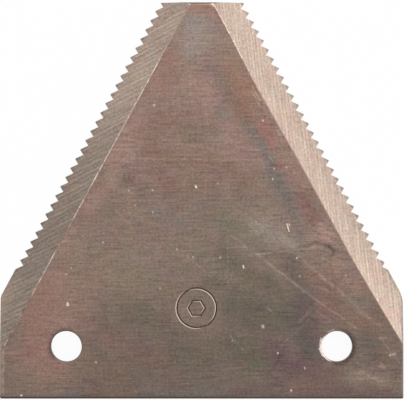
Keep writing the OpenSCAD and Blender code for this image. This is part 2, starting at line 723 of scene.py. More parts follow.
@dataclass(frozen=True, kw_only=True)
class TarnishedFace(Finish):
    """The upper face: rolled plate with brushing along X, blotched tarnish, scuffs, small dents, painted
    shade round the holes and a painted sheen and highlights.
    """

    name: str = "tarnished_face"
    attribute: str = "tarnish"
    drift_seed: int = 37
    drifts: tuple[Drift, ...] = (Drift(1.6, 0.12, 3.1), Drift(0.7, 0.45, 7.7))
    middle_band: Place = (-6.0, 26.0)
    upper_band: Place = (30.0, 37.0)
    mottle: float = 0.21
    mottle_frequency: float = 0.32
    brushing: Streaks = Streaks(0.0, (0.32, 2.1), 3.0, 0.74)
    lines: Streaks = Streaks(0.0, (0.16, 4.4), 1.0, 0.52)
    weave: Streaks = Streaks(90.0, (0.30, 2.4), 2.0, 0.28)
    grain: Grain = Grain(2.1, 3.0, 0.7, 1.22)
    flecks: Grain = Grain(0.5, 2.0, strength=0.23)
    patches: Grain = Grain(0.09, 3.0)
    patchiness: Ramp = Ramp(0.35, 0.65, 0.55, 1.25)
    fray: float = 0.25
    shake: float = 0.5
    shake_frequency: float = 0.4
    line_gaps: Grain = Grain(0.9, 3.0)
    line_fading: Ramp = Ramp(0.34, 0.62, 0.15, 1.0)
    mark_gaps: Grain = Grain(3.1, 2.0)
    mark_fading: Ramp = Ramp(0.36, 0.56, 0.25, 1.0)
    pit_frequency: float = 0.42
    pit_size: Ramp = Ramp(0.03, 0.10, 1.0, 0.0)
    pit_choice: Ramp = Ramp(0.35, 0.45, 0.0, 0.32)
    # Each stain lies over those before it
    stains: tuple[Stain, ...] = (
        Stain((-0.5, 60.2), (-0.7, 57.0), 5.8, Tone.ASH, 0.80),
        Stain((-2.2, 63.4), (2.4, 63.4), 2.2, Tone.COPPER, 0.50),
        Stain((-5.5, 54.0), (-9.0, 47.5), 3.6, Tone.COPPER, 0.30),
        Stain((-1.1, 48.5), (0.8, 46.5), 4.6, Tone.BLUSH, 0.50),
        Stain((3.0, 52.5), (5.0, 46.5), 3.0, Tone.TEAL, 0.35),
        Stain((5.8, 52.0), (8.8, 45.6), 3.4, Tone.AMBER, 0.60),
        Stain((5.2, 46.0), (7.4, 43.0), 2.6, Tone.UMBER, 0.55),
        Stain((8.8, 42.6), (11.4, 38.0), 2.0, Tone.TEAL, 0.65),
        Stain((12.2, 41.9), (13.8, 38.8), 2.2, Tone.RUST, 0.45),
        Stain((-12.7, 41.6), (-15.7, 35.4), 3.0, Tone.BLUSH, 0.70),
        Stain((-8.5, 42.5), (-1.0, 41.0), 3.6, Tone.UMBER, 0.40),
        Stain((-3.0, 40.5), (2.5, 39.8), 3.2, Tone.OLIVE, 0.40),
        Stain((4.4, 41.6), (6.3, 37.4), 2.6, Tone.BLUSH, 0.35),
        Stain((-9.0, 36.4), (5.0, 34.0), 3.4, Tone.UMBER, 0.45),
        Stain((12.6, 36.0), (16.4, 26.6), 2.8, Tone.TEAL, 0.75),
        Stain((17.0, 33.5), (18.8, 30.6), 2.4, Tone.CLAY, 0.90),
        Stain((19.2, 28.0), (22.2, 22.9), 2.6, Tone.WINE, 0.70),
        Stain((22.9, 22.8), (24.4, 20.6), 2.2, Tone.BLUSH, 0.90),
        Stain((-20.5, 29.5), (-22.5, 25.5), 3.6, Tone.CLAY, 0.80),
        Stain((2.0, 24.4), (10.0, 21.0), 5.2, Tone.OLIVE, 0.75),
        Stain((-2.0, 19.0), (4.0, 14.0), 5.0, Tone.OLIVE, 0.50),
        Stain((9.4, 23.4), (16.3, 19.2), 2.8, Tone.VERDIGRIS, 0.38),
        Stain((4.2, 17.0), (11.4, 12.0), 3.4, Tone.MOSS, 0.75),
        Stain((16.4, 16.4), (19.4, 9.6), 3.6, Tone.DUSK, 0.62),
        Stain((24.0, 14.0), (23.6, 5.0), 3.4, Tone.WINE, 0.55),
        Stain((6.8, 7.4), (17.4, 5.6), 5.4, Tone.MOSS, 0.85),
        Stain((18.4, 6.3), (19.8, -1.2), 3.9, Tone.DUSK, 0.90),
        Stain((18.4, 8.3), (20.7, 2.2), 3.2, Tone.PLUM, 0.70),
        Stain((13.2, -0.9), (19.6, -5.8), 4.8, Tone.PLUM, 0.85),
        Stain((20.7, 13.5), (28.2, 4.7), 3.0, Tone.UMBER, 0.60),
        Stain((25.5, 16.0), (29.0, 11.6), 2.6, Tone.CLAY, 0.90),
        Stain((31.5, 5.5), (34.0, -0.8), 3.2, Tone.UMBER, 0.55),
        Stain((31.6, 2.0), (33.4, -1.2), 2.8, Tone.DUSK, 0.55),
        Stain((21.6, -4.4), (24.6, -5.4), 3.0, Tone.WINE, 0.35),
        Stain((-4.0, 31.2), (10.0, 31.0), 3.4, Tone.UMBER, 0.35),
        Stain((-12.6, 18.2), (-3.0, 17.6), 3.0, Tone.SAND, 0.60),
        Stain((-22.0, -4.6), (-16.5, -4.8), 3.0, Tone.UMBER, 0.45),
        Stain((-17.6, 0.4), (-16.0, -0.6), 2.4, Tone.CLAY, 0.50),
        Stain((28.4, -5.8), (32.6, -6.2), 2.8, Tone.SAND, 0.90),
        Stain((-28.0, 12.5), (-29.5, -1.5), 11.5, Tone.CLAY, 1.00),
        Stain((-21.0, 12.0), (-25.0, 5.0), 5.5, Tone.CLAY, 0.80),
        Stain((-30.0, 9.0), (-30.0, 1.5), 5.6, Tone.COPPER, 0.32),
        Stain((-31.5, -1.0), (-27.5, -5.4), 4.8, Tone.COPPER, 0.22),
        Stain((-24.0, 18.5), (-12.0, 12.5), 6.2, Tone.SAND, 0.90),
        Stain((-14.5, 14.2), (-9.0, 12.4), 2.6, Tone.OLIVE, 0.35),
        Stain((-12.0, 6.5), (-4.5, 2.5), 4.4, Tone.MOSS, 0.40),
        Stain((-4.0, 6.0), (0.0, 5.0), 3.6, Tone.SAND, 0.40),
        Stain((-4.1, -0.4), (1.0, -2.4), 4.1, Tone.MOSS, 0.45),
        Stain((-17.5, 1.4), (-7.8, -2.1), 3.4, Tone.WINE, 0.35),
        Stain((4.9, 0.4), (10.6, -2.8), 3.6, Tone.MOSS, 0.85),
        Stain((-36.5, -8.8), (-26.0, -8.8), 1.8, Tone.ASH, 0.12),
        Stain((-25.6, -8.2), (-22.4, -8.2), 1.6, Tone.TEAL, 0.55),
        Stain((-12.0, -8.6), (5.3, -8.6), 1.7, Tone.TEAL, 0.45),
        Stain((6.3, -8.5), (36.3, -8.5), 1.7, Tone.PLUM, 0.55),
        Stain((-7.8, 25.3), (-3.7, 23.4), 2.1, Tone.TEAL, 0.45),
        Stain((-14.2, 31.7), (-9.7, 29.4), 3.0, Tone.WINE, 0.20),
        Stain((10.0, 1.2), (11.2, -0.6), 2.6, Tone.MOSS, 0.60),
        Stain((0.2, 11.2), (4.2, 10.4), 2.2, Tone.MOSS, 0.50),
        Stain((-21.0, -8.6), (-14.0, -8.6), 1.7, Tone.UMBER, 0.45),
        Stain((-24.6, 21.8), (-26.4, 18.4), 2.2, Tone.BLUSH, 0.55),
        Stain((6.6, 45.6), (8.6, 44.2), 2.0, Tone.OLIVE, 0.35),
        Stain((9.6, 48.6), (11.2, 45.6), 1.6, Tone.AMBER, 0.50),
        Stain((-21.8, 27.6), (-19.4, 28.4), 1.8, Tone.BLUSH, 0.50),
        Stain((-12.6, 15.8), (-11.2, 15.2), 2.2, Tone.ASH, 0.30),
        Stain((8.6, 43.8), (9.6, 42.6), 1.8, Tone.AMBER, 0.50),
        Stain((2.6, 43.8), (3.8, 42.6), 2.2, Tone.TEAL, 0.50),
        Stain((14.6, 34.8), (15.6, 33.6), 1.6, Tone.RUST, 0.50),
        Stain((-11.6, 39.8), (-5.0, 35.6), 2.8, Tone.UMBER, 0.45),
        Stain((-6.0, 28.2), (10.5, 27.8), 2.4, Tone.MOSS, 0.18),
        Stain((16.9, 24.4), (17.6, 20.6), 2.2, Tone.TEAL, 0.55),
        Stain((20.2, 21.2), (21.4, 20.2), 1.8, Tone.BLUSH, 0.40),
        Stain((10.8, 17.8), (13.8, 17.2), 1.8, Tone.MOSS, 0.40),
        Stain((13.2, 11.2), (14.8, 10.0), 2.2, Tone.MOSS, 0.50),
        Stain((7.2, 4.2), (13.8, 3.6), 2.2, Tone.MOSS, 0.45),
        Stain((17.5, -7.6), (22.0, -7.9), 1.5, Tone.AMBER, 0.40),
        Stain((34.6, -6.2), (38.0, -6.6), 2.6, Tone.SAND, 0.55),
        Stain((-8.4, 32.8), (-6.2, 30.4), 2.2, Tone.WINE, 0.45),
        Stain((-17.8, 31.8), (-17.4, 30.2), 1.5, Tone.BLUSH, 0.45),
        Stain((-37.4, 1.0), (-37.4, -8.0), 2.6, Tone.BLUSH, 0.22),
    )
    # Smeared strokes in the tarnish, partly a painted sheen
    sheen_smears: tuple[SheenSmear, ...] = (
        SheenSmear((8.5, 23.6), (17.5, 17.6), 4.4, -33.0, 0.9),
        SheenSmear((18.8, 29.0), (25.0, 17.5), 3.8, -18.0, 1.1),
        SheenSmear((12.0, 12.0), (24.0, 4.0), 5.0, -38.0, 0.5),
        SheenSmear((-12.8, 40.4), (-15.0, 35.4), 3.4, -6.0, 0.7),
        SheenSmear((-3.0, 50.0), (6.0, 38.0), 6.0, 30.0, 0.35),
    )
    worn_lines: tuple[Mark, ...] = (
        scuff((21.6, 19.7), (23.9, 18.8), 0.48),
        scuff((23.9, 18.8), (24.8, 17.9), 0.48),
        scuff((24.8, 17.9), (24.4, 16.9), 0.36),
        scuff((20.0, 19.0), (21.2, 19.5), 0.30),
        scuff((-17.2, 34.5), (-0.3, 34.5), 0.12),
        scuff((11.2, 44.1), (11.8, 43.2), 0.40),
        scuff((-25.6, 7.0), (-24.4, 7.2), 0.35),
        scratch((5.5, 20.8), (11.9, 16.1), 0.12),
        scratch((11.9, 16.1), (20.9, 9.2), 0.17),
        scratch((20.9, 9.2), (29.1, 3.4), 0.19),
        smudge((18.2, 17.2), (21.6, 14.1), 0.06),
        smudge((21.6, 14.1), (26.5, 9.9), 0.16),
        smudge((26.5, 9.9), (31.8, 5.1), 0.10),
        smudge((20.0, 15.1), (24.6, 11.1), 0.06),
        scratch((0.6, 16.3), (10.4, 17.2), 0.12),
        scratch((10.4, 17.2), (20.9, 18.6), 0.22),
        scratch((20.9, 18.6), (23.1, 18.7), 0.16),
        scratch((4.9, 20.4), (4.9, 11.4), 0.10),
        scratch((14.9, 0.2), (20.1, 5.1), 0.12),
        scratch((-16.9, 26.4), (-13.8, 23.1), 0.10),
        scratch((-2.9, 17.1), (1.9, 12.9), 0.12),
        scratch((-5.7, 45.2), (-3.1, 48.0), 0.10),
        scratch((9.5, 48.7), (11.0, 46.0), 0.42),
        scratch((10.6, 48.2), (11.8, 45.6), 0.42),
        scratch((9.4, 47.9), (10.8, 45.2), 0.26),
        scratch((-15.7, 35.2), (11.3, 35.0), 0.16),
        smudge((8.0, 18.9), (20.9, 9.2), 0.07),
        scratch((4.4, 18.4), (8.4, 18.7), 0.14),
        scratch((20.7, 14.7), (26.1, 10.2), 0.10),
        scratch((19.9, 11.9), (23.7, 10.4), 0.16),
        scratch((22.7, 16.6), (25.0, 15.3), 0.16),
        scratch((18.4, 16.8), (19.9, 15.3), 0.14),
        scratch((21.9, 18.5), (24.4, 17.6), 0.12),
        scratch((11.9, 7.5), (13.4, 6.4), 0.18),
        smudge((18.3, 4.8), (20.7, 7.2), 0.10),
        smudge((21.8, 6.5), (24.1, 4.6), 0.12),
        smudge((29.9, -4.6), (33.6, -6.5), 0.14),
        smudge((27.6, 7.6), (33.4, 4.2), 0.07),
        scratch((29.7, 6.3), (33.6, 4.0), 0.08),
        smudge((28.4, -2.7), (30.4, -3.8), 0.12),
        scratch((33.4, 1.8), (37.0, -3.0), 0.10),
        scratch((5.1, 2.2), (7.8, -0.6), 0.13),
        smudge((-9.1, 8.0), (-8.0, 6.8), 0.10),
        scratch((-7.1, 42.7), (-4.2, 44.0), 0.10),
        scratch((5.7, 48.5), (6.6, 47.3), 0.20),
        scratch((1.0, 43.8), (1.2, 41.4), 0.10),
        smudge((-2.9, 31.6), (-3.3, 29.7), 0.12),
        scratch((14.1, 40.6), (15.0, 39.1), 0.26),
        scratch((12.6, 35.7), (13.4, 34.8), 0.22),
        smudge((-37.3, 2.4), (-37.3, -9.0), 0.26),
        scuff((13.4, 17.6), (19.4, 18.7), 0.22),
        scuff((15.6, -0.1), (12.1, -6.3), 0.20),
    )
    # Painted shade: dark arcs round one side of each rivet hole
    hole_shades: tuple[HoleShade, ...] = (
        HoleShade((25.4, 0.0), (0.96, -0.28), 0.85),
        HoleShade((-25.4, 0.0), (-0.90, 0.44), 0.50),
    )
    # First the painted highlight on the right hole's burr, then pale and pink marks
    burr_glints_and_marks: tuple[Mark, ...] = (
        Mark((22.35, 1.5), (22.15, -0.4), 0.26, Tone.GLINT, 0.60),
        Mark((22.15, -0.4), (22.7, -1.7), 0.32, Tone.GLINT, 0.80),
        Mark((23.75, 2.74), (24.8, 3.14), 0.24, Tone.CREAM, 0.45),
        Mark((33.4, 1.5), (34.5, 1.7), 0.30, Tone.BLUSH, 0.80),
        Mark((35.3, -1.6), (36.2, -1.35), 0.42, Tone.CREAM, 0.50),
        Mark((33.3, -3.7), (34.3, -3.95), 0.34, Tone.BLUSH, 0.90),
        Mark((33.6, -3.2), (34.0, -3.5), 0.32, Tone.BLUSH, 0.70),
    )
    dints_and_glints: tuple[Mark, ...] = (
        speck((-1.0, 29.8), 0.24, 1.00, 0.35),
        speck((16.4, 21.6), 0.17, 1.00, 1.40),
        speck((16.5, 22.7), 0.20, 0.70, 0.30),
        speck((-9.2, 29.3), 0.24, 0.65),
        speck((-9.1, 25.0), 0.20, 0.40, 0.30),
        speck((-8.9, 45.2), 0.30, 0.60),
        speck((1.8, 49.5), 0.26, 0.50),
        speck((11.5, 42.4), 0.26, 0.55),
        speck((-18.5, 19.5), 0.26, 0.35),
        speck((-25.1, 7.8), 0.36, 1.00, 0.25),
        speck((-25.4, 13.5), 0.26, 0.35),
        speck((-7.8, 10.9), 0.24, 0.45),
        speck((-1.6, 16.7), 0.24, 0.45),
        speck((-4.6, 18.2), 0.24, 0.35),
        speck((7.9, 14.8), 0.22, 0.90, 0.40),
        speck((3.5, 16.7), 0.30, 0.35),
        speck((17.9, 16.6), 0.22, 0.65),
        speck((18.4, 13.1), 0.24, 0.60),
        speck((27.0, 13.2), 0.22, 0.50),
        speck((11.5, 3.7), 0.42, 0.55),
        speck((14.3, -1.3), 0.24, 0.75),
        speck((19.4, -4.2), 0.20, 0.50, 0.30),
        speck((16.8, -8.3), 0.30, 0.65),
        speck((-19.8, -3.0), 0.24, 0.45),
        speck((-13.6, 29.2), 0.24, 0.35),
        speck((3.1, 30.5), 0.40, 0.22),
        speck((15.9, 33.6), 0.22, 0.45),
        speck((13.6, 33.3), 0.24, 0.45),
        speck((13.4, 31.2), 0.22, 0.55, 0.30),
        speck((-12.5, 26.4), 0.22, 0.40),
        speck((-24.5, 14.7), 0.22, 0.30),
        speck((-33.8, -9.2), 0.30, 0.75),
        speck((5.75, 1.1), 0.20, 0.40),
        # Painted glints where the ridges reach the tip
        speck((-2.5, 63.9), 0.30, 0.80),
        speck((2.2, 63.9), 0.30, 0.70),
    )

    def tarnish(self, x: float, y: float) -> Vector:
        """Works out the colour that age has left at one place on the face.

        Args:
            x: The place across the blade, in millimetres.
            y: The place along the blade, in millimetres.

        Returns:
            The linear colour.
        """
        stray = Vector((0.0, 0.0, 0.0))
        for drift in self.drifts:
            stray += drift.at(x, y)
        place = Vector((x + stray.x, y + stray.y))
        colour = Tone.LOWER.rgb.lerp(Tone.MIDDLE.rgb, smooth(place.y, *self.middle_band))
        colour = colour.lerp(Tone.UPPER.rgb, smooth(place.y, *self.upper_band))
        for stain in self.stains:
            colour = stain.lay(place, colour)
        return colour

    def tarnish_mesh(self, mesh: bpy.types.Mesh) -> None:
        """Keeps the tarnish as a colour on each point of a mesh in millimetres.

        Args:
            mesh: The mesh.
        """
        noise.seed_set(self.drift_seed)
        colours = mesh.color_attributes.new(self.attribute, "FLOAT_COLOR", "POINT")
        for vertex in mesh.vertices:
            colours.data[vertex.index].color = (*self.tarnish(vertex.co.x, vertex.co.y), 1.0)

    def layers(self, graph: Graph, place: Socket) -> Layers:
        """Builds up the finish.

        Args:
            graph: The material's graph.
            place: The object's coordinates in millimetres.

        Returns:
            The finish's layers.
        """
        plan = graph.in_plan(place)
        colour = graph.add("ShaderNodeAttribute", attribute_name=self.attribute).outputs["Vector"]
        colour = graph.mottled(colour, plan, self.mottle_frequency, self.mottle)

        brushing = self.brushing.draw(graph, plan)
        lines = self.lines.draw(graph, plan)
        weave = self.weave.draw(graph, plan)
        grain = self.grain.draw(graph, plan)
        flecks = self.flecks.draw(graph, plan)
        patchy = graph.step(self.patches.draw(graph, plan), *self.patchiness)
        level = graph.total(
            graph.math("MULTIPLY", graph.centred(brushing, self.brushing.strength), patchy),
            graph.centred(lines, self.lines.strength),
            graph.centred(weave, self.weave.strength),
            graph.centred(grain, self.grain.strength),
            graph.centred(flecks, self.flecks.strength),
            *(smear.draw_strokes(graph, plan) for smear in self.sheen_smears),
            1.0,
        )
        colour = graph.scale(colour, level)

        fray = graph.add("ShaderNodeCombineXYZ", {1: graph.centred(brushing, self.fray)}).outputs[0]
        drawn = graph.vector("ADD", plan, fray).outputs[0]
        stray = graph.scale(graph.wander(plan, self.shake_frequency), self.shake)
        lined = graph.in_plan(graph.vector("ADD", drawn, stray).outputs[0])
        broken = graph.step(self.line_gaps.draw(graph, plan), *self.line_fading)
        for mark in self.worn_lines:
            colour = mark.paint(graph, lined, colour, broken)
        frayed = graph.step(self.mark_gaps.draw(graph, plan), *self.mark_fading)
        # Painted shade round the holes, then burr marks and specks, some of them painted highlights
        for mark in (*self.hole_shades, *self.burr_glints_and_marks, *self.dints_and_glints):
            colour = mark.paint(graph, drawn, colour, frayed)
        pits = graph.add("ShaderNodeTexVoronoi", {"Vector": plan, "Scale": self.pit_frequency}).outputs
        lot = graph.add("ShaderNodeSeparateColor", {0: pits["Color"]}).outputs
        pitted = graph.math("MULTIPLY", graph.step(pits["Distance"], *self.pit_size), lot[0])
        pitted = graph.math("MULTIPLY", pitted, graph.step(lot[1], *self.pit_choice))
        colour = graph.mix(pitted, colour, Tone.CREAM.rgb)

        relief = graph.total(*(graph.math("MULTIPLY", marks, 0.5) for marks in (brushing, lines)))
        return self.finished(graph, colour, grain, relief)


@dataclass(frozen=True, kw_only=True)
class GroundBevel(Finish):
    """A ground bevel, with the wheel's marks across it, darker along the teeth.

    Heights run along the blade. Depths go inwards from the cutting edge, and side_depths from the side.
    """

    edge_point: Place
    edge_normal: Place
    side_edge: float
    mark_angle: float
    mark_period: float
    mark_strength: float
    hue_shift: float
    gains: tuple[float, ...]
    rim_dullness: float
    rib_light: float = 0.0
    foot_green: float = 0.0
    foot_blush: float = 0.0
    side_dullness: float = 0.0
    gain_heights: tuple[float, ...] = (6.0, 20.0, 35.0, 47.0, 62.0)
    roughness: float = 0.36
    roughness_spread: float = 0.14
    waver: float = 2.4
    wheel_strength: float = 0.26
    wheel_fading: Ramp = Ramp(0.35, 0.65, 0.25, 1.0)
    coarse_stretch: Place = (0.12, 0.9)
    coarse_strength: float = 0.55
    fine_stretch: Place = (0.25, 2.6)
    fine_strength: float = 0.70
    fine_turn: float = 4.0
    scoring_detail: float = 2.0
    cloud: Grain = Grain(0.25, 4.0, 0.6, 0.30)
    clouding: Ramp = Ramp(0.40, 0.62, 0.0, 0.5)
    grain: Grain = Grain(2.1, 2.0, 0.7, 0.95)
    hue_frequency: float = 0.6
    green_heights: Place = (4.0, 44.0)
    rim_depths: Place = (0.30, 0.75)
    rim_heights: Ramp = Ramp(8.0, 16.0, 0.15, 1.0)
    side_depths: Place = (0.5, 0.1)
    blush_heights: Place = (6.0, 17.0)
    blush_depths: Ramp = Ramp(0.3, 3.2, 1.0, 0.0)
    blush_light: float = 0.50
    rib_depths: Place = (0.8, 4.8)
    rib_heights: Ramp = Ramp(44.0, 60.0, 1.0, -0.5)
    relief_shares: Triple = (0.3, 0.4, 0.3)

    def scoring(self, graph: Graph, plan: Socket, angle: float, stretch: Place) -> Socket:
        """Adds the wheel's scoring, as close as its marks.

        Args:
            graph: The material's graph.
            plan: The coordinates in plan.
            angle: The direction from X, in degrees.
            stretch: The frequency along the scoring, and across it for each mark.

        Returns:
            The scoring, about 0.5 on average.
        """
        along, across = stretch
        return graph.streaks(plan, angle, (along, across / self.mark_period), self.scoring_detail)

    def layers(self, graph: Graph, place: Socket) -> Layers:
        """Builds up the finish.

        Args:
            graph: The material's graph.
            place: The object's coordinates in millimetres.

        Returns:
            The finish's layers.
        """
        plan = graph.in_plan(place)
        across, height, _ = graph.add("ShaderNodeSeparateXYZ", {0: plan}).outputs
        from_edge = graph.vector("SUBTRACT", plan, (*self.edge_point, 0.0)).outputs[0]
        depth = graph.vector("DOT_PRODUCT", from_edge, (*self.edge_normal, 0.0)).outputs[1]

        wheel = graph.ripples(plan, self.mark_angle, self.mark_period, self.waver)
        coarse = self.scoring(graph, plan, self.mark_angle, self.coarse_stretch)
        fine = self.scoring(graph, plan, self.mark_angle + self.fine_turn, self.fine_stretch)
        cloud = self.cloud.draw(graph, plan)
        grain = self.grain.draw(graph, plan)

        clouded = graph.step(cloud, *self.clouding)
        colour = graph.mix(clouded, Tone.GROUND.rgb, Tone.GROUND_ROSE.rgb)
        colour = graph.mottled(colour, plan, self.hue_frequency, self.hue_shift)
        green = graph.step(height, *self.green_heights, self.foot_green, 0.0)
        colour = graph.mix(green, colour, Tone.VERDIGRIS.rgb)
        # Darker along the teeth, and on the right bevel towards the side edge
        rim = graph.step(depth, *self.rim_depths, self.rim_dullness, 0.0)
        rim = graph.math("MULTIPLY", rim, graph.step(height, *self.rim_heights))
        colour = graph.mix(rim, colour, Tone.DULL.rgb)
        outward = graph.math("ABSOLUTE", across)
        low, high = (self.side_edge - inside for inside in self.side_depths)
        side = graph.step(outward, low, high, 0.0, self.side_dullness)
        colour = graph.mix(side, colour, Tone.DULL.rgb)
        low_down = graph.step(height, *self.blush_heights, self.foot_blush, 0.0)
        worn_foot = graph.math("MULTIPLY", graph.step(depth, *self.blush_depths), low_down)
        colour = graph.mix(worn_foot, colour, Tone.GROUND_ROSE.rgb)
        gain = self.gains[0]
        for number in range(1, len(self.gains)):
            low, high = self.gain_heights[number - 1], self.gain_heights[number]
            gain = graph.step(height, low, high, gain, self.gains[number])
        slant = graph.step(depth, *self.rib_depths, -self.rib_light, self.rib_light)
        slant = graph.math("MULTIPLY", slant, graph.step(height, *self.rib_heights))
        fading = graph.step(coarse, *self.wheel_fading)
        level = graph.total(
            graph.math("MULTIPLY", graph.centred(wheel, self.wheel_strength * self.mark_strength), fading),
            graph.centred(coarse, self.coarse_strength * self.mark_strength),
            graph.centred(fine, self.fine_strength * self.mark_strength),
            graph.centred(grain, self.grain.strength * self.mark_strength),
            graph.centred(cloud, self.cloud.strength),
            graph.math("MULTIPLY", worn_foot, self.blush_light),
            slant,
            1.0,
        )
        colour = graph.scale(colour, graph.math("MULTIPLY", level, gain))

        marks = zip((wheel, coarse, fine), self.relief_shares)
        relief = graph.total(*(graph.math("MULTIPLY", mark, share) for mark, share in marks))
        return self.finished(graph, colour, fine, relief)


@dataclass(frozen=True, kw_only=True)
class RidgeHighlight(Finish):
    """The line where a bevel meets the face, with a painted highlight broken into dashes.

    Its ramps called heights run along the blade.
    """

    name: str = "worn_ridge"
    roughness: float = 0.34
    relief_depth: float = 0.003
    dashes: Grain = Grain(0.62, 5.0, 0.78)
    dash_gaps: Ramp = Ramp(0.44, 0.60)
    left_heights: tuple[Ramp, Ramp] = (Ramp(14.0, 34.0, 0.55, 1.0), Ramp(53.0, 57.0, 1.0, 0.35))
    right_heights: Ramp = Ramp(44.0, 58.0, 0.12, 0.85)
    foot_heights: tuple[Ramp, Ramp] = (Ramp(8.0, 11.0), Ramp(17.0, 20.0, 1.0, 0.0))
    foot_gain: float = 0.7
    whole_heights: Ramp = Ramp(23.0, 31.0)
    whole_share: float = 0.66
    sparkle: Grain = Grain(1.7, 2.0)
    sparkling: Ramp = Ramp(0.40, 0.60, 0.45, 1.1)
    rose_heights: Ramp = Ramp(4.0, 40.0)
    grain: Grain = Grain(2.5, 3.0)

    def layers(self, graph: Graph, place: Socket) -> Layers:
        """Builds up the finish.

        Args:
            graph: The material's graph.
            place: The object's coordinates in millimetres.

        Returns:
            The finish's layers.
        """
        across, height, _ = graph.add("ShaderNodeSeparateXYZ", {0: place}).outputs
        dashes = graph.step(self.dashes.draw(graph, place), *self.dash_gaps)
        left = graph.math("MULTIPLY", *(graph.step(height, *ramp) for ramp in self.left_heights))
        left = graph.math("MULTIPLY", left, graph.step(across, *LEFT_HALF))
        right_top = graph.step(height, *self.right_heights)
        right = graph.math("MULTIPLY", graph.step(across, *RIGHT_HALF), right_top)
        foot = graph.math("MULTIPLY", *(graph.step(height, *ramp) for ramp in self.foot_heights))
        gain = graph.math("ADD", 1.0, graph.math("MULTIPLY", foot, self.foot_gain))
        left = graph.math("MULTIPLY", left, gain)
        whole = graph.math("MAXIMUM", graph.step(height, *self.whole_heights), foot)
        lined = graph.math("MAXIMUM", dashes, graph.math("MULTIPLY", whole, self.whole_share))
        sparkle = graph.step(self.sparkle.draw(graph, place), *self.sparkling)
        lined = graph.math("MULTIPLY", lined, sparkle)
        share = graph.math("MULTIPLY", lined, graph.math("ADD", left, right))
        plain = graph.mix(graph.step(height, *self.rose_heights), Tone.UMBER.rgb, Tone.ROSE.rgb)
        # Painted highlight along the ridge, mostly on the left and near the tip on the right
        colour = graph.mix(share, plain, Tone.GLINT.rgb)
        grain = self.grain.draw(graph, place)
        return self.finished(graph, colour, grain, grain)


@dataclass(frozen=True, kw_only=True)
class RollLightAndShade(Finish):
    """The rolled-over edges of the face, with painted light and shade: a painted highlight along the tip,
    the left side painted lighter than the right, painted shade low on the side rolls, and darker along the
    base.

    Its ramps called depths go down from the face.
    """

    face_height: float
    name: str = "worn_roll"
    grain: Grain = Grain(1.1, 4.0, 0.7, 0.6)
    side_shading: Ramp = Ramp(10.0, 36.0)
    tip_start: Ramp = Ramp(60.0, 61.0)
    tip_depths: Ramp = Ramp(0.03, 0.06)
    base_end: Ramp = Ramp(-9.3, -9.0, 1.0, 0.0)
    side_depths: Ramp = Ramp(0.12, 0.30)
    base_depths: Ramp = Ramp(0.0, 0.08)
    # Painted glints where the ridges reach the tip
    glints: tuple[Mark, ...] = (
        Mark((-2.5, 64.2), (-2.3, 64.1), 0.32, Tone.GLINT, 0.95),
        Mark((1.9, 64.1), (2.1, 64.2), 0.32, Tone.GLINT, 0.80),
    )

    def layers(self, graph: Graph, place: Socket) -> Layers:
        """Builds up the finish.

        Args:
            graph: The material's graph.
            place: The object's coordinates in millimetres.

        Returns:
            The finish's layers.
        """
        across, along, height = graph.add("ShaderNodeSeparateXYZ", {0: place}).outputs
        grain = self.grain.draw(graph, place)
        depth = graph.math("SUBTRACT", self.face_height, height)
        # Painted light and shade: the left side roll lighter, the right one darker
        colour = graph.mix(graph.step(across, *self.side_shading), Tone.BLUSH.rgb, Tone.DULL.rgb)
        tip = graph.step(along, *self.tip_start)
        # Painted highlight along the top of the tip roll
        tip_highlight = graph.mix(graph.step(depth, *self.tip_depths), Tone.GROUND_ROSE.rgb, Tone.MIDDLE.rgb)
        colour = graph.mix(tip, colour, tip_highlight)
        base = graph.step(along, *self.base_end)
        colour = graph.mix(base, colour, Tone.MILL.rgb)
        # Painted shade down the lower part of the side rolls; the base roll darkens downwards
        steep_shade = graph.step(depth, *self.side_depths)
        steep_shade = graph.math("MULTIPLY", steep_shade, graph.math("SUBTRACT", 1.0, tip))
        base_dark = graph.math("MULTIPLY", graph.step(depth, *self.base_depths), base)
        colour = graph.mix(graph.math("MAXIMUM", steep_shade, base_dark), colour, Tone.SOOT.rgb)
        plan = graph.in_plan(place)
        for glint in self.glints:
            colour = glint.paint(graph, plan, colour)
        level = graph.math("ADD", 1.0, graph.centred(grain, self.grain.strength))
        return self.finished(graph, graph.scale(colour, level), grain, grain)


@dataclass(frozen=True, kw_only=True)
class ShearedEdge(Finish):
    """The blanked edges: dark, with the shear's scoring down the wall."""

    name: str = "sheared_edge"
    roughness: float = 0.48
    relief_depth: float = 0.02
    drawn: Triple = (3.0, 3.0, 0.35)
    scoring: Grain = Grain(1.0, 3.0, 0.6, 0.5)
    cloud: Grain = Grain(0.35, 3.0)
    clouding: Ramp = Ramp(0.35, 0.65, 0.0, 0.45)

    def layers(self, graph: Graph, place: Socket) -> Layers:
        """Builds up the finish.

        Args:
            graph: The material's graph.
            place: The object's coordinates in millimetres.

        Returns:
            The finish's layers.
        """
        upright = graph.vector("MULTIPLY", place, self.drawn).outputs[0]
        scoring = self.scoring.draw(graph, upright)
        clouded = graph.step(self.cloud.draw(graph, place), *self.clouding)
        colour = graph.mix(clouded, Tone.SOOT.rgb, Tone.PLUM.rgb)
        level = graph.math("ADD", 1.0, graph.centred(scoring, self.scoring.strength))
        return self.finished(graph, graph.scale(colour, level), scoring, scoring)


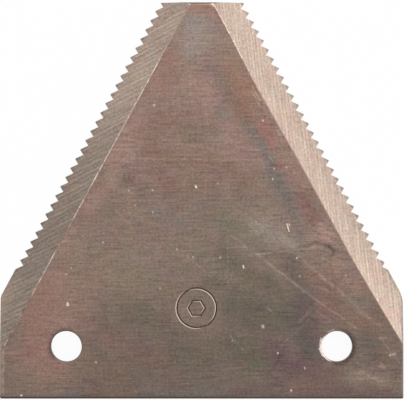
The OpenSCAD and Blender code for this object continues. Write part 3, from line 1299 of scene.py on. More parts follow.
@dataclass(frozen=True, kw_only=True)
class MillUnderside(Finish):
    """The flat underside: the plate as rolled, with scuffs along the knife back."""

    name: str = "mill_underside"
    roughness: float = 0.44
    relief_depth: float = 0.006
    cloud: Grain = Grain(0.12, 5.0, 0.6)
    clouding: Ramp = Ramp(0.38, 0.66)
    brushing: Streaks = Streaks(0.0, (0.12, 1.9), 4.0, 0.8)
    grain: Grain = Grain(2.8, 3.0, 0.65, 0.5)
    mottle: float = 0.3
    mottle_frequency: float = 0.3

    def layers(self, graph: Graph, place: Socket) -> Layers:
        """Builds up the finish.

        Args:
            graph: The material's graph.
            place: The object's coordinates in millimetres.

        Returns:
            The finish's layers.
        """
        cloud = self.cloud.draw(graph, place)
        brushing = self.brushing.draw(graph, place)
        grain = self.grain.draw(graph, place)
        colour = graph.mix(graph.step(cloud, *self.clouding), Tone.MILL.rgb, Tone.UMBER.rgb)
        colour = graph.mottled(colour, place, self.mottle_frequency, self.mottle)
        level = graph.total(
            graph.centred(brushing, self.brushing.strength),
            graph.centred(grain, self.grain.strength),
            1.0,
        )
        return self.finished(graph, graph.scale(colour, level), grain, brushing)


@dataclass(frozen=True, kw_only=True)
class PressedGrooves(Finish):
    """The grooves of the teeth, with the lines that the tool has drawn into them."""

    name: str = "pressed_grooves"
    roughness: float = 0.42
    relief_depth: float = 0.01
    drawn: Triple = (1.2, 1.2, 0.4)
    lines: Grain = Grain(1.0, 4.0, 0.6, 0.6)
    cloud: Grain = Grain(0.3, 3.0)
    clouding: Ramp = Ramp(0.40, 0.70, 0.0, 0.4)

    def layers(self, graph: Graph, place: Socket) -> Layers:
        """Builds up the finish.

        Args:
            graph: The material's graph.
            place: The object's coordinates in millimetres.

        Returns:
            The finish's layers.
        """
        upright = graph.vector("MULTIPLY", place, self.drawn).outputs[0]
        lines = self.lines.draw(graph, upright)
        clouded = graph.step(self.cloud.draw(graph, place), *self.clouding)
        colour = graph.mix(clouded, Tone.DULL.rgb, Tone.PLUM.rgb)
        level = graph.math("ADD", 1.0, graph.centred(lines, self.lines.strength))
        return self.finished(graph, graph.scale(colour, level), lines, lines)


@dataclass(frozen=True, kw_only=True)
class StampedLine(Finish):
    """A stamped line with painted light and shade: bright on the flank that faces the light, dark on the
    other.

    A hexagon's flats are the directions square to its sides, in degrees, and a ring has none.
    """

    centre: Place
    radius: float
    width: float
    flats: tuple[float, ...] = ()
    lit_from: Triple = (0.88, 0.47, 0.0)
    roughness: float = 0.36
    grain: Grain = Grain(1.6, 3.0, strength=0.5)
    lit_flank: Ramp = Ramp(-0.15, 0.45)

    def spread(self, graph: Graph, spoke: Socket) -> Socket:
        """Measures how far out a place lies, square to the line.

        Args:
            graph: The material's graph.
            spoke: The place, from the stamp's centre.

        Returns:
            The distance in millimetres.
        """
        if not self.flats:
            return graph.vector("LENGTH", spoke).outputs[1]
        spread = 0.0
        for angle in map(math.radians, self.flats):
            square = (math.cos(angle), math.sin(angle), 0.0)
            reach = graph.math("ABSOLUTE", graph.vector("DOT_PRODUCT", spoke, square).outputs[1])
            spread = graph.math("MAXIMUM", spread, reach)
        return spread

    def layers(self, graph: Graph, place: Socket) -> Layers:
        """Builds up the finish.

        Args:
            graph: The material's graph.
            place: The object's coordinates in millimetres.

        Returns:
            The finish's layers.
        """
        offset = graph.vector("SUBTRACT", place, (*self.centre, 0.0)).outputs[0]
        spoke = graph.in_plan(offset)
        inside = graph.math("SUBTRACT", self.radius, self.spread(graph, spoke))
        flank = graph.math("DIVIDE", inside, self.width)
        # Painted light and shade: each flank's tone follows how it faces the light
        heading = graph.vector("NORMALIZE", spoke).outputs[0]
        towards = graph.vector("DOT_PRODUCT", heading, self.lit_from).outputs[1]
        lit = graph.math("MULTIPLY", flank, towards)
        grain = self.grain.draw(graph, place)
        lit = graph.math("ADD", lit, graph.centred(grain, self.grain.strength))
        colour = graph.mix(graph.step(lit, *self.lit_flank), Tone.SOOT.rgb, Tone.GROUND.rgb)
        return self.finished(graph, colour, grain, grain)


@dataclass(frozen=True, kw_only=True)
class PunchedHole(Finish):
    """The wall and drawn-in rim of a rivet hole, the rim painted lighter away from its shaded side,
    and a real burr on one side of one rim, with a painted highlight on it.

    Its depths go down from the height of the rim.
    """

    half_pattern: float
    rim_height: float
    name: str = "punched_hole"
    roughness: float = 0.44
    relief_depth: float = 0.01
    burr_towards: Triple = (-0.98, -0.20, 0.0)
    shade_towards: Triple = (0.86, -0.51, 0.0)
    drawn: Triple = (2.4, 2.4, 0.4)
    scoring: Grain = Grain(1.0, 3.0, 0.6)
    scored: Ramp = Ramp(0.35, 0.70, 0.0, 0.5)
    rim_depths: Place = (0.20, 0.02)
    rim_share: float = 0.9
    rim_shading: Ramp = Ramp(-0.10, 0.45, 1.0, 0.1)
    burr_depth: float = 0.15
    burr_reach: Ramp = Ramp(0.45, 0.85)
    burr_gaps: Ramp = Ramp(0.30, 0.50, 0.35, 1.0)

    def layers(self, graph: Graph, place: Socket) -> Layers:
        """Builds up the finish.

        Args:
            graph: The material's graph.
            place: The object's coordinates in millimetres.

        Returns:
            The finish's layers.
        """
        across, along, height = graph.add("ShaderNodeSeparateXYZ", {0: place}).outputs
        outward = graph.math("SUBTRACT", graph.math("ABSOLUTE", across), self.half_pattern)
        upward = graph.math("MULTIPLY", along, graph.math("SIGN", across))
        spoke = graph.add("ShaderNodeCombineXYZ", {0: outward, 1: upward}).outputs[0]
        heading = graph.vector("NORMALIZE", spoke).outputs[0]
        upright = graph.vector("MULTIPLY", place, self.drawn).outputs[0]
        scoring = self.scoring.draw(graph, upright)

        colour = graph.mix(graph.step(scoring, *self.scored), Tone.SOOT.rgb, Tone.UMBER.rgb)
        # Painted light and shade: the rim is sand-coloured on the side away from the shade
        to_shade = graph.vector("DOT_PRODUCT", heading, self.shade_towards).outputs[1]
        low, high = (self.rim_height - depth for depth in self.rim_depths)
        rim = graph.step(height, low, high, 0.0, self.rim_share)
        rim = graph.math("MULTIPLY", rim, graph.step(to_shade, *self.rim_shading))
        colour = graph.mix(rim, colour, Tone.SAND.rgb)

        # Painted highlight on the real burr of the right hole, on its side towards the light
        to_burr = graph.vector("DOT_PRODUCT", heading, self.burr_towards).outputs[1]
        burr = graph.step(to_burr, *self.burr_reach)
        burr = graph.math("MULTIPLY", burr, graph.step(across, *RIGHT_HALF))
        raised = graph.step(height, self.rim_height - self.burr_depth, self.rim_height)
        burr = graph.math("MULTIPLY", burr, raised)
        burr = graph.math("MULTIPLY", burr, graph.step(scoring, *self.burr_gaps))
        colour = graph.mix(burr, colour, Tone.GLINT.rgb)
        return self.finished(graph, colour, scoring, scoring)


def object_from(name: str, builder: bmesh.types.BMesh) -> bpy.types.Object:
    """Turns a mesh under construction into an object at the origin.

    Args:
        name: The object's name.
        builder: The mesh, which is freed.

    Returns:
        The object, linked to the scene.
    """
    bmesh.ops.recalc_face_normals(builder, faces=builder.faces)
    mesh = bpy.data.meshes.new(name)
    builder.to_mesh(mesh)
    builder.free()
    made = bpy.data.objects.new(name, mesh)
    bpy.context.scene.collection.objects.link(made)
    return made


def parts_of(faces: list[bmesh.types.BMFace]) -> list[MeshPart]:
    """Gathers faces with their corners and edges, each once and in a fixed order.

    Args:
        faces: The faces.

    Returns:
        The corners, the edges and the faces.
    """
    corners = dict.fromkeys(vert for face in faces for vert in face.verts)
    edges = dict.fromkeys(edge for face in faces for edge in face.edges)
    return [*corners, *edges, *faces]


def plain_mesh(made: bpy.types.Object) -> None:
    """Applies an object's modifiers to its mesh and removes them.

    Args:
        made: The object.
    """
    evaluated = made.evaluated_get(bpy.context.evaluated_depsgraph_get())
    mesh = bpy.data.meshes.new_from_object(evaluated)
    made.modifiers.clear()
    made.data = mesh


def lathed(profile: list[Place], steps: int) -> bmesh.types.BMesh:
    """Turns a closed profile about Z.

    Args:
        profile: Its corners as radius and height; a radius of 0 lies on the axis.
        steps: The number of steps around, the first of them on X.

    Returns:
        The mesh.
    """
    builder = bmesh.new()
    rings = []
    for radius, height in profile:
        if radius == 0.0:
            rings.append([builder.verts.new((0.0, 0.0, height))] * steps)
            continue
        angles = [math.tau * index / steps for index in range(steps)]
        spots = [(radius * math.cos(angle), radius * math.sin(angle), height) for angle in angles]
        rings.append([builder.verts.new(spot) for spot in spots])
    for number, ring in enumerate(rings):
        following = rings[(number + 1) % len(rings)]
        for index in range(steps):
            after = (index + 1) % steps
            corners = [ring[index], ring[after], following[after], following[index]]
            distinct = list(dict.fromkeys(corners))
            if len(distinct) > 2:
                builder.faces.new(distinct)
    return builder


def press_row_tree() -> bpy.types.NodeTree:
    """Makes the Geometry Nodes tree that presses a row of equal tools into a plate, once.

    Returns:
        The tree, with the tool, its row and the finish that it leaves as named inputs.
    """
    name = "press_row"
    if name in bpy.data.node_groups:
        return bpy.data.node_groups[name]
    tree = bpy.data.node_groups.new(name, "GeometryNodeTree")
    kinds = {
        "Geometry": "Geometry",
        "Tool": "Object",
        "Count": "Int",
        "Start": "Vector",
        "Step": "Vector",
        "Turn": "Vector",
        "Finish": "Material",
    }
    for label, kind in kinds.items():
        tree.interface.new_socket(label, in_out="INPUT", socket_type=f"NodeSocket{kind}")
    tree.interface.new_socket("Geometry", in_out="OUTPUT", socket_type="NodeSocketGeometry")
    graph = Graph(tree)
    given = graph.add("NodeGroupInput").outputs
    row = graph.add(
        "GeometryNodeMeshLine",
        {"Count": given["Count"], "Start Location": given["Start"], "Offset": given["Step"]},
        mode="OFFSET",
    ).outputs[0]
    shape = graph.add("GeometryNodeObjectInfo", {"Object": given["Tool"]}).outputs["Geometry"]
    tool = graph.add(
        "GeometryNodeStoreNamedAttribute",
        {"Geometry": shape, "Name": "pressed", "Value": True},
        data_type="BOOLEAN",
        domain="FACE",
    ).outputs[0]
    placed = graph.add(
        "GeometryNodeInstanceOnPoints",
        {"Points": row, "Instance": tool, "Rotation": given["Turn"]},
    ).outputs[0]
    cut = graph.add(
        "GeometryNodeMeshBoolean",
        {"Mesh 1": given["Geometry"], "Mesh 2": placed},
        operation="DIFFERENCE",
        solver="EXACT",
    ).outputs[0]
    solid = graph.add("GeometryNodeRealizeInstances", {"Geometry": cut}).outputs[0]
    fresh = graph.add("GeometryNodeInputNamedAttribute", {"Name": "pressed"}, data_type="BOOLEAN")
    dressed = graph.add(
        "GeometryNodeSetMaterial",
        {"Geometry": solid, "Selection": fresh.outputs["Attribute"], "Material": given["Finish"]},
    ).outputs[0]
    cleared = graph.add("GeometryNodeRemoveAttribute", {"Geometry": dressed, "Name": "pressed"})
    graph.add("NodeGroupOutput", {"Geometry": cleared.outputs[0]})
    return tree


@dataclass(frozen=True)
class PressedRow:
    """A row of equal tools that are pressed into the plate, each turned about Z, in radians."""

    tool: bpy.types.Object
    count: int
    start: Vector
    step: Vector
    turn: float
    finish: Finish

    def press(self, plate: bpy.types.Object) -> None:
        """Presses the row into a plate and takes the tool away.

        Args:
            plate: The plate, whose mesh is replaced.
        """
        modifier = plate.modifiers.new("press_row", "NODES")
        tree = press_row_tree()
        given = [item for item in tree.interface.items_tree if item.in_out == "INPUT"]
        keys = {item.name: item.identifier for item in given}
        modifier.node_group = tree
        modifier[keys["Tool"]] = self.tool
        modifier[keys["Count"]] = self.count
        modifier[keys["Start"]] = tuple(self.start)
        modifier[keys["Step"]] = tuple(self.step)
        modifier[keys["Turn"]] = (0.0, 0.0, self.turn)
        modifier[keys["Finish"]] = self.finish.material()
        plain_mesh(plate)
        bpy.data.objects.remove(self.tool)


@dataclass
class SickleSection:
    """The blade: its blank, its bevels, the pressed teeth, the rivet holes and the stamp.

    Sizes are in millimetres and angles in degrees.
    """

    # The frame's box and rivet holes
    half_width: float
    base_y: float
    tip_y: float
    thickness: float
    hole_spacing: float
    hole_radius: float
    # The blank's outline
    tip_width: float = 15.7
    side_height: float = 19.1
    left_shoulder_radius: float = 2.0
    right_shoulder_radius: float = 6.0
    corner_radius: float = 0.4
    arc_steps: int = 9
    # Rounds along the blanked edges
    base_roll: float = 0.50
    side_roll: float = 0.28
    tip_roll: float = 0.60
    roll_steps: int = 5
    # Bevels and ridges, of which the right one strays from straight
    bevel_width: float = 5.1
    edge_land: float = 0.15
    ridge_radius: float = 0.70
    ridge_dip: float = 0.30
    dip_centre: float = 47.0
    dip_reach: float = 15.0
    ridge_flare: float = 0.75
    flare_start: float = 17.0
    flare_power: float = 1.2
    bow_step: float = 1.5
    # Teeth
    tooth_pitch: float = 1.975
    tooth_land: float = 0.03
    groove_angle: float = 126.0
    groove_turn: float = 18.0
    groove_rise: float = 5.6
    left_first_groove: float = 0.75
    right_first_groove: float = 1.1
    plain_edge: float = 6.7
    run_out_shortfall: float = 0.11
    # Rivet holes
    hole_roll: float = 0.22
    hole_sink: float = 0.05
    punch_flare: float = 0.02
    round_steps: int = 72
    # Stamp
    stamp_diameter: float = 7.4
    stamp_line: float = 0.42
    stamp_depth: float = 0.12
    stamp_hexagon: float = 3.2
    hexagon_flats: tuple[float, ...] = (30.0, 90.0, 150.0)
    stamp_place: Place = (-1.0, 7.2)
    # Tools, mesh and shading
    tool_reach: float = 2.0
    face_grid: float = 1.25
    crease_angle: float = 28.0
    normal_weight: int = 100
    shave_gap: float = 1e-5
    bow_gap: float = 1e-4
    grid_gap: float = 1e-3
    merge_gap: float = 1e-4
    zones: dict[Zone, Finish] = field(default_factory=dict)

    @classmethod
    def from_frame(cls) -> "SickleSection":
        """Takes the blade's box and rivet holes from the CAD frame, in millimetres.

        Returns:
            The blade, ready to be built.
        """
        low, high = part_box(NODE)
        mounts = {mount["name"]: mount for mount in frame["record"]["mounts"]}
        holes = mounts["rivet_holes"]["dims"]
        return cls(
            half_width=high.x / MM,
            base_y=low.y / MM,
            tip_y=high.y / MM,
            thickness=high.z / MM,
            hole_spacing=holes["spacing_x_mm"],
            hole_radius=holes["hole_r_mm"],
        )

    @property
    def half_tip(self) -> float:
        """Half the width of the blunt tip."""
        return self.tip_width / 2

    @property
    def shoulder_y(self) -> float:
        """Where the straight sides end."""
        return self.base_y + self.side_height

    @property
    def edge_lean(self) -> float:
        """Lean of the cutting edges from the centre line, in radians."""
        return math.atan2(self.half_width - self.half_tip, self.tip_y - self.shoulder_y)

    @property
    def edge_length(self) -> float:
        """Length of a cutting edge, from the tip to the shoulder."""
        return math.hypot(self.half_width - self.half_tip, self.tip_y - self.shoulder_y)

    @property
    def bevel_angle(self) -> float:
        """Slope of the bevels, in radians."""
        return math.atan2(self.thickness - self.edge_land, self.bevel_width)

    def edge_normal(self, side: Side) -> Vector:
        """The direction square out of a cutting edge, in plan."""
        return Vector((side * math.cos(self.edge_lean), math.sin(self.edge_lean), 0.0))

    def edge_spot(self, side: Side, distance: float) -> Vector:
        """A point on the line of a cutting edge, at a distance from the tip."""
        across = self.half_tip + distance * math.sin(self.edge_lean)
        return Vector((side * across, self.tip_y - distance * math.cos(self.edge_lean), 0.0))

    def bevel_finish(self, side: Side, **looks: object) -> GroundBevel:
        """Makes the finish of one bevel.

        Args:
            side: The bevel's cutting edge.
            **looks: How the wheel and the wear have left it.

        Returns:
            The finish.
        """
        inward = -self.edge_normal(side)
        spot = self.edge_spot(side, 0.0)
        return GroundBevel(
            name=f"{side.name.lower()}_bevel_grind",
            edge_point=(spot.x, spot.y),
            edge_normal=(inward.x, inward.y),
            side_edge=self.half_width,
            **looks,
        )

    def choose_finishes(self) -> None:
        """Gives each surface of the blank its finish."""
        left_bevel = self.bevel_finish(
            Side.LEFT,
            mark_angle=26.0,
            mark_period=0.72,
            mark_strength=1.15,
            hue_shift=0.22,
            gains=(0.83, 0.72, 0.80, 1.05, 1.02),
            rim_dullness=0.38,
            foot_green=0.30,
            foot_blush=0.80,
        )
        right_bevel = self.bevel_finish(
            Side.RIGHT,
            mark_angle=96.0,
            mark_period=0.62,
            mark_strength=1.0,
            hue_shift=0.12,
            gains=(1.01, 0.92, 0.93, 0.94, 0.95),
            rim_dullness=0.60,
            rib_light=0.07,
            side_dullness=0.8,
        )
        self.zones = {
            Zone.FACE: TarnishedFace(),
            Zone.LEFT_BEVEL: left_bevel,
            Zone.RIGHT_BEVEL: right_bevel,
            Zone.RIDGE: RidgeHighlight(),
            Zone.SHEARED: ShearedEdge(),
            Zone.UNDERSIDE: MillUnderside(),
            Zone.ROLLED: RollLightAndShade(face_height=self.thickness),
        }

    def corner_arc(self, before: Vector, corner: Vector, after: Vector, radius: float) -> list[Vector]:
        """Rounds one corner of the outline.

        Args:
            before: The outline's corner before this one, going anticlockwise.
            corner: The corner.
            after: The corner after it.
            radius: The radius of the arc.

        Returns:
            The points along the arc.
        """
        back = (before - corner).normalized()
        onward = (after - corner).normalized()
        half_angle = back.angle(onward) / 2
        middle = corner + (back + onward).normalized() * radius / math.sin(half_angle)
        start = math.atan2(back.x, -back.y)
        turn = math.pi - 2 * half_angle
        points = []
        for index in range(self.arc_steps + 1):
            angle = start + turn * index / self.arc_steps
            points.append(middle + radius * Vector((math.cos(angle), math.sin(angle))))
        return points

    def outline(self) -> list[Vector]:
        """Draws the blank's outline in plan, before the teeth are pressed.

        Returns:
            Its points, anticlockwise.
        """
        left_base = Vector((-self.half_width, self.base_y))
        right_base = Vector((self.half_width, self.base_y))
        right_shoulder = Vector((self.half_width, self.shoulder_y))
        right_tip = Vector((self.half_tip, self.tip_y))
        left_tip = Vector((-self.half_tip, self.tip_y))
        left_shoulder = Vector((-self.half_width, self.shoulder_y))
        return [
            *self.corner_arc(left_shoulder, left_base, right_base, self.corner_radius),
            *self.corner_arc(left_base, right_base, right_shoulder, self.corner_radius),
            *self.corner_arc(right_base, right_shoulder, right_tip, self.right_shoulder_radius),
            right_tip,
            left_tip,
            *self.corner_arc(left_tip, left_shoulder, left_base, self.left_shoulder_radius),
        ]

    def shave(self, builder: bmesh.types.BMesh, point: Vector, normal: Vector, zone: Zone) -> None:
        """Cuts away what lies beyond a plane and closes the cut.

        Args:
            builder: The convex blank.
            point: A point on the plane.
            normal: The direction that is cut away.
            zone: The new surface's zone.
        """
        parts = [*builder.verts, *builder.edges, *builder.faces]
        bmesh.ops.bisect_plane(
            builder,
            geom=parts,
            dist=self.shave_gap,
            plane_co=point,
            plane_no=normal,
            clear_outer=True,
        )
        rim = [edge for edge in builder.edges if edge.is_boundary]
        for face in bmesh.ops.holes_fill(builder, edges=rim, sides=0)["faces"]:
            face.material_index = zone

    def round_over(
        self,
        builder: bmesh.types.BMesh,
        point: Vector,
        first: Vector,
        second: Vector,
        radius: float,
        zone: Zone,
    ) -> None:
        """Rounds the edge between two planes, with planes that touch the round.

        Args:
            builder: The convex blank.
            point: A point on the edge.
            first: The first plane's normal.
            second: The second plane's normal.
            radius: The radius of the round.
            zone: The zone of the new surfaces.
        """
        centre = point - radius * (first + second) / (1.0 + first.dot(second))
        for index in range(self.roll_steps):
            share = (index + 1) / (self.roll_steps + 1)
            normal = first.slerp(second, share)
            self.shave(builder, centre + radius * normal, normal, zone)

    def blank(self) -> bpy.types.Object:
        """Makes the blank: the plate with its bevels, ridges and rolled-over edges.

        Returns:
            The blank, in millimetres, with a material slot for each zone.
        """
        builder = bmesh.new()
        corners = [builder.verts.new((spot.x, spot.y, 0.0)) for spot in self.outline()]
        floor = builder.faces.new(corners)
        raised = bmesh.ops.extrude_face_region(builder, geom=[floor])["geom"]
        lifted = [part for part in raised if isinstance(part, bmesh.types.BMVert)]
        bmesh.ops.translate(builder, verts=lifted, vec=(0.0, 0.0, self.thickness))
        for face in builder.faces:
            level = {round(vert.co.z, 3) for vert in face.verts}
            if len(level) > 1:
                face.material_index = Zone.SHEARED
            else:
                face.material_index = Zone.UNDERSIDE if level == {0.0} else Zone.FACE
        up = Vector((0.0, 0.0, 1.0))
        for side, zone in ((Side.LEFT, Zone.LEFT_BEVEL), (Side.RIGHT, Zone.RIGHT_BEVEL)):
            outward = self.edge_normal(side)
            slope = outward * math.sin(self.bevel_angle) + up * math.cos(self.bevel_angle)
            edge = self.edge_spot(side, 0.0)
            self.shave(builder, edge + up * self.edge_land, slope, zone)
            ridge = edge - outward * self.bevel_width + up * self.thickness
            self.round_over(builder, ridge, up, slope, self.ridge_radius, Zone.RIDGE)
        for spot, outward, radius in (
            ((0.0, self.base_y, self.thickness), (0.0, -1.0, 0.0), self.base_roll),
            ((0.0, self.tip_y, self.thickness), (0.0, 1.0, 0.0), self.tip_roll),
            ((-self.half_width, 0.0, self.thickness), (-1.0, 0.0, 0.0), self.side_roll),
            ((self.half_width, 0.0, self.thickness), (1.0, 0.0, 0.0), self.side_roll),
        ):
            self.round_over(builder, Vector(spot), up, Vector(outward), radius, Zone.ROLLED)
        self.bow_ridge(builder)
        made = object_from("blade", builder)
        for zone in Zone:
            made.data.materials.append(self.zones[zone].material())
        return made

    def ridge_bow(self, y: float) -> float:
        """How far the right ridge strays from straight, along Y, as the wheel has left it.

        Args:
            y: The place along the blade.

        Returns:
            The shift in millimetres.
        """
        dip = self.ridge_dip * (1.0 - smooth(abs(y - self.dip_centre), 0.0, self.dip_reach))
        flare = max((self.flare_start - y) / self.flare_start, 0.0)
        return (self.ridge_flare * flare**self.flare_power - dip) / math.tan(self.edge_lean)

    @staticmethod
    def zone_faces(builder: bmesh.types.BMesh, zone: Zone) -> list[bmesh.types.BMFace]:
        """The faces of one zone."""
        return [face for face in builder.faces if face.material_index == zone]

    def right_ridge(self, builder: bmesh.types.BMesh) -> list[bmesh.types.BMFace]:
        """The faces of the right ridge."""
        ridges = self.zone_faces(builder, Zone.RIDGE)
        return [face for face in ridges if face.calc_center_median().x > 0.0]

    def bow_ridge(self, builder: bmesh.types.BMesh) -> None:
        """Bends the right ridge, within the face and the bevel that meet in it.

        Args:
            builder: The blank.
        """
        for number in range(1, math.floor((self.tip_y - self.base_y) / self.bow_step)):
            level = Vector((0.0, self.base_y + number * self.bow_step, 0.0))
            bmesh.ops.bisect_plane(
                builder,
                geom=parts_of(self.right_ridge(builder)),
                dist=self.bow_gap,
                plane_co=level,
                plane_no=(0.0, 1.0, 0.0),
            )
        ridge = self.right_ridge(builder)
        for vert in dict.fromkeys(vert for face in ridge for vert in face.verts):
            vert.co.y += self.ridge_bow(vert.co.y)
        bmesh.ops.triangulate(builder, faces=self.zone_faces(builder, Zone.RIGHT_BEVEL))

    def groove_depth(self) -> float:
        """Works out how deep the grooves are at the cutting edge.

        Returns:
            The depth that leaves the tooth's land at its point.
        """
        rise = math.radians(self.groove_rise)
        cosine = math.cos(math.radians(self.groove_turn))
        sine = math.sin(math.radians(self.groove_turn))
        bevel = math.tan(self.bevel_angle)
        floor = math.tan(rise)
        flank = 1 / math.tan(math.radians(self.groove_angle) / 2) / math.cos(rise)
        turned = bevel + floor * cosine
        to_tip = (flank * cosine + floor * sine) / (turned - flank * sine)
        to_shoulder = (flank * cosine - floor * sine) / (turned + flank * sine)
        tooth_depth = self.tooth_pitch / (1 / to_tip + 1 / to_shoulder)
        return self.edge_land - self.tooth_land + tooth_depth * (bevel + floor / cosine)

    def groove_tool(self, side: Side) -> bpy.types.Object:
        """Makes the V that presses one groove, with X square into the plate from the edge.

        Args:
            side: The cutting edge that it is for.

        Returns:
            The tool.
        """
        depth = self.groove_depth()
        rise = math.radians(self.groove_rise)
        span = depth / math.sin(rise) + 2 * self.tool_reach
        height = depth + 2 * self.tool_reach * math.tan(rise) + self.tool_reach
        half_breadth = height * math.tan(math.radians(self.groove_angle) / 2)
        builder = bmesh.new()
        section = ((0.0, 0.0), (-half_breadth, -height), (half_breadth, -height))
        near = [builder.verts.new((-self.tool_reach, y, z)) for y, z in section]
        far = [builder.verts.new((span - self.tool_reach, y, z)) for y, z in section]
        builder.faces.new(near)
        builder.faces.new(far)
        for index in range(len(section)):
            after = (index + 1) % len(section)
            builder.faces.new((near[index], near[after], far[after], far[index]))
        placing = (
            Matrix.Rotation(-side * math.radians(self.groove_turn), 4, "Z")
            @ Matrix.Translation((0.0, 0.0, depth))
            @ Matrix.Rotation(rise, 4, "Y")
        )
        bmesh.ops.transform(builder, matrix=placing, verts=builder.verts)
        return object_from(f"{side.name.lower()}_groove_tool", builder)

    def rivet_punch(self) -> bpy.types.Object:
        """Makes the punch for a rivet hole, which draws the rim down around it.

        Returns:
            The tool.
        """
        top = self.thickness
        profile = [(0.0, -self.tool_reach), (self.hole_radius, -self.tool_reach)]
        for index in range(self.roll_steps + 1):
            angle = math.pi / 2 * index / self.roll_steps
            radius = self.hole_radius + self.hole_roll * (1 - math.cos(angle))
            profile.append((radius, top - self.hole_roll * (1 - math.sin(angle))))
        rim = self.hole_radius + self.hole_roll + self.punch_flare
        profile += [(rim, top + self.tool_reach), (0.0, top + self.tool_reach)]
        return object_from("rivet_punch", lathed(profile, self.round_steps))

    def stamp_tool(self, diameter: float, sides: int) -> bpy.types.Object:
        """Makes the stamp for one closed line, V-shaped in section, with its first corner on X.

        Args:
            diameter: The diameter at the middle of the line.
            sides: The number of its sides.

        Returns:
            The tool.
        """
        radius = diameter / 2
        wide = self.stamp_line
        profile = [
            (radius, -self.stamp_depth),
            (radius + wide, self.stamp_depth),
            (radius - wide, self.stamp_depth),
        ]
        return object_from("stamp_tool", lathed(profile, sides))

    def groove_rows(self, side: Side, first: float) -> list[PressedRow]:
        """Lays out the grooves of one edge, with the shallow one in which the right row runs out.

        Args:
            side: The cutting edge.
            first: The distance from the tip to the first groove.

        Returns:
            The rows, in the order of the work.
        """
        finish = PressedGrooves()
        usable = self.edge_length - self.plain_edge
        count = math.floor((usable - first) / self.tooth_pitch) + 1
        start = self.edge_spot(side, first)
        step = self.edge_spot(side, first + self.tooth_pitch) - start
        turn = math.pi + self.edge_lean if side is Side.RIGHT else -self.edge_lean
        made = [PressedRow(self.groove_tool(side), count, start, step, turn, finish)]
        if side is Side.RIGHT:
            last = start + count * step - Vector((0.0, 0.0, self.run_out_shortfall))
            made.append(PressedRow(self.groove_tool(side), 1, last, step, turn, finish))
        return made

    def rivet_row(self) -> PressedRow:
        """Lays out the two rivet holes.

        Returns:
            The holes, as a row of two.
        """
        half_pattern = self.hole_spacing / 2
        finish = PunchedHole(half_pattern=half_pattern, rim_height=self.thickness - self.hole_sink)
        start = Vector((-half_pattern, 0.0, 0.0))
        step = Vector((self.hole_spacing, 0.0, 0.0))
        return PressedRow(self.rivet_punch(), 2, start, step, 0.0, finish)

    def stamp_row(self, name: str, diameter: float, sides: int, flats: tuple[float, ...]) -> PressedRow:
        """Lays out one line of the stamp.

        Args:
            name: The line's name.
            diameter: Its diameter.
            sides: The number of its sides.
            flats: The directions square to its sides, in degrees, or none for a ring.

        Returns:
            The line, as a row of one.
        """
        finish = StampedLine(
            name=f"stamped_{name}",
            centre=self.stamp_place,
            radius=diameter / 2 * math.cos(math.pi / sides),
            width=self.stamp_line / 2,
            flats=flats,
        )
        start = Vector((*self.stamp_place, self.thickness))
        return PressedRow(self.stamp_tool(diameter, sides), 1, start, Vector(), 0.0, finish)

    def rows(self) -> list[PressedRow]:
        """Lays out everything that is pressed, punched or stamped into the blank.

        Returns:
            The rows, in the order of the work.
        """
        flats = self.hexagon_flats
        return [
            *self.groove_rows(Side.LEFT, self.left_first_groove),
            *self.groove_rows(Side.RIGHT, self.right_first_groove),
            self.rivet_row(),
            self.stamp_row("ring", self.stamp_diameter, self.round_steps, ()),
            self.stamp_row("hexagon", self.stamp_hexagon, 2 * len(flats), flats),
        ]

    def divide_face(self, builder: bmesh.types.BMesh) -> None:
        """Divides the upper face into small squares, so that it can hold the tarnish.

        Args:
            builder: The blade's mesh.
        """
        bmesh.ops.triangulate(builder, faces=self.zone_faces(builder, Zone.FACE))
        along_x = (Vector((1.0, 0.0, 0.0)), -self.half_width, self.half_width)
        along_y = (Vector((0.0, 1.0, 0.0)), self.base_y, self.tip_y)
        for normal, low, high in (along_x, along_y):
            for number in range(1, math.ceil((high - low) / self.face_grid)):
                bmesh.ops.bisect_plane(
                    builder,
                    geom=parts_of(self.zone_faces(builder, Zone.FACE)),
                    dist=self.grid_gap,
                    plane_co=normal * (low + number * self.face_grid),
                    plane_no=normal,
                )

    def build(self) -> bpy.types.Object:
        """Makes the whole blade in place, as one plain mesh.

        Returns:
            The blade, in metres.
        """
        self.choose_finishes()
        made = self.blank()
        for row in self.rows():
            row.press(made)
        builder = bmesh.new()
        builder.from_mesh(made.data)
        bmesh.ops.remove_doubles(builder, verts=builder.verts, dist=self.merge_gap)
        bmesh.ops.dissolve_degenerate(builder, edges=builder.edges, dist=self.merge_gap)
        self.divide_face(builder)
        builder.to_mesh(made.data)
        builder.free()
        self.zones[Zone.FACE].tarnish_mesh(made.data)
        made.data.shade_smooth()
        made.data.set_sharp_from_angle(angle=math.radians(self.crease_angle))
        made.data.transform(Matrix.Scale(MM, 4))
        flat = made.modifiers.new("weighted_normals", "WEIGHTED_NORMAL")
        flat.weight = self.normal_weight
        flat.keep_sharp = True
        plain_mesh(made)
        return made

    def dress(self, made: bpy.types.Object) -> None:
        """Ties the blade to the CAD frame.

        Args:
            made: The blade.
        """
        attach(made, "root")
        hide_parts(NODE)


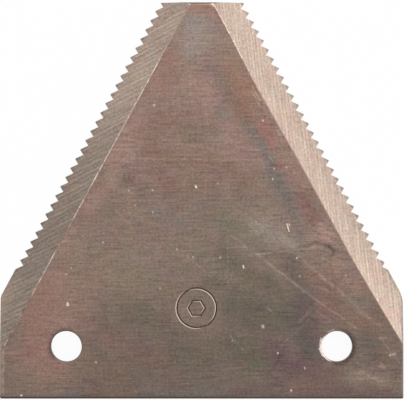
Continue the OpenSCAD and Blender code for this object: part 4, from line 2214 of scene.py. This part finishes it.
@dataclass
class Studio:
    """The pale floor, the soft light and the camera that looks straight down, in metres."""

    image_width: float = 407.0
    camera_height: float = 0.400
    camera_place: Place = (0.00035, 0.02748)
    face_height: float = 0.002
    pixels_per_metre: float = 5334.0
    sensor: float = 36.0
    side_light: float = 0.65
    back_light: float = 0.35
    floor_half: float = 1.5
    clip_range: Place = (0.01, 20.0)
    floor_drop: float = 0.00002
    floor_tone: float = 0.92
    floor_glow: float = 0.93

    def build_floor(self) -> None:
        """Lays the floor: a plain pale sheet that shows the blade's soft shadow."""
        builder = bmesh.new()
        half = self.floor_half
        corners = ((-half, -half), (half, -half), (half, half), (-half, half))
        builder.faces.new([builder.verts.new((x, y, -self.floor_drop)) for x, y in corners])
        floor = object_from("floor", builder)
        material = bpy.data.materials.new("pale_floor")
        material.use_nodes = True
        material.node_tree.nodes.clear()
        graph = Graph(material.node_tree)
        tone = self.floor_tone
        matt = graph.add("ShaderNodeBsdfDiffuse", {"Color": (tone, tone, tone, 1.0)})
        white = graph.add("ShaderNodeEmission", {"Color": (1.0, 1.0, 1.0, 1.0), "Strength": 1.0})
        rays = graph.add("ShaderNodeLightPath").outputs
        shown = graph.math("MAXIMUM", rays["Is Camera Ray"], rays["Is Glossy Ray"])
        shown = graph.math("MAXIMUM", shown, rays["Is Transmission Ray"])
        glow = graph.math("MULTIPLY", shown, self.floor_glow)
        both = graph.add("ShaderNodeMixShader", {0: glow, 1: matt.outputs[0], 2: white.outputs[0]})
        graph.add("ShaderNodeOutputMaterial", {"Surface": both.outputs[0]})
        floor.data.materials.append(material)

    def build_light(self) -> None:
        """Lights the scene from all round, more from the right and the back, before a white backdrop."""
        world = bpy.data.worlds.new("soft_studio")
        world.use_nodes = True
        world.node_tree.nodes.clear()
        graph = Graph(world.node_tree)
        direction = graph.add("ShaderNodeTexCoord").outputs["Generated"]
        slant = (self.side_light, self.back_light, 0.0)
        lean = graph.vector("DOT_PRODUCT", direction, slant).outputs[1]
        soft = graph.math("ADD", 1.0, lean)
        rays = graph.add("ShaderNodeLightPath").outputs
        shown = graph.math("MAXIMUM", rays["Is Camera Ray"], rays["Is Transmission Ray"])
        light = graph.math("MULTIPLY", soft, graph.math("SUBTRACT", 1.0, shown))
        strength = graph.math("ADD", light, shown)
        sky = graph.add("ShaderNodeBackground", {"Color": (1.0, 1.0, 1.0, 1.0), "Strength": strength})
        graph.add("ShaderNodeOutputWorld", {"Surface": sky.outputs[0]})
        bpy.context.scene.world = world

    def build_camera(self) -> None:
        """Hangs the camera above the blade."""
        data = bpy.data.cameras.new("camera")
        data.sensor_fit = "HORIZONTAL"
        data.sensor_width = self.sensor
        focal_pixels = self.pixels_per_metre * (self.camera_height - self.face_height)
        data.lens = self.sensor * focal_pixels / self.image_width
        data.clip_start, data.clip_end = self.clip_range
        camera = bpy.data.objects.new("camera", data)
        camera.location = (*self.camera_place, self.camera_height)
        bpy.context.scene.collection.objects.link(camera)
        bpy.context.scene.camera = camera

    def build(self) -> None:
        """Sets up the floor, the light, the camera and the plain view transform."""
        self.build_floor()
        self.build_light()
        self.build_camera()
        bpy.context.scene.view_settings.view_transform = "Standard"


def main() -> None:
    """Builds the studio and the blade, and reports each piece."""
    logging.basicConfig(level=logging.INFO, format="%(name)s: %(message)s")
    Studio().build()
    log.info("studio: floor, light and camera")
    section = SickleSection.from_frame()
    blade = section.build()
    section.dress(blade)
    log.info("%s: %d faces, %d finishes", blade.name, len(blade.data.polygons), len(blade.data.materials))


if __name__ == "__main__":
    main()
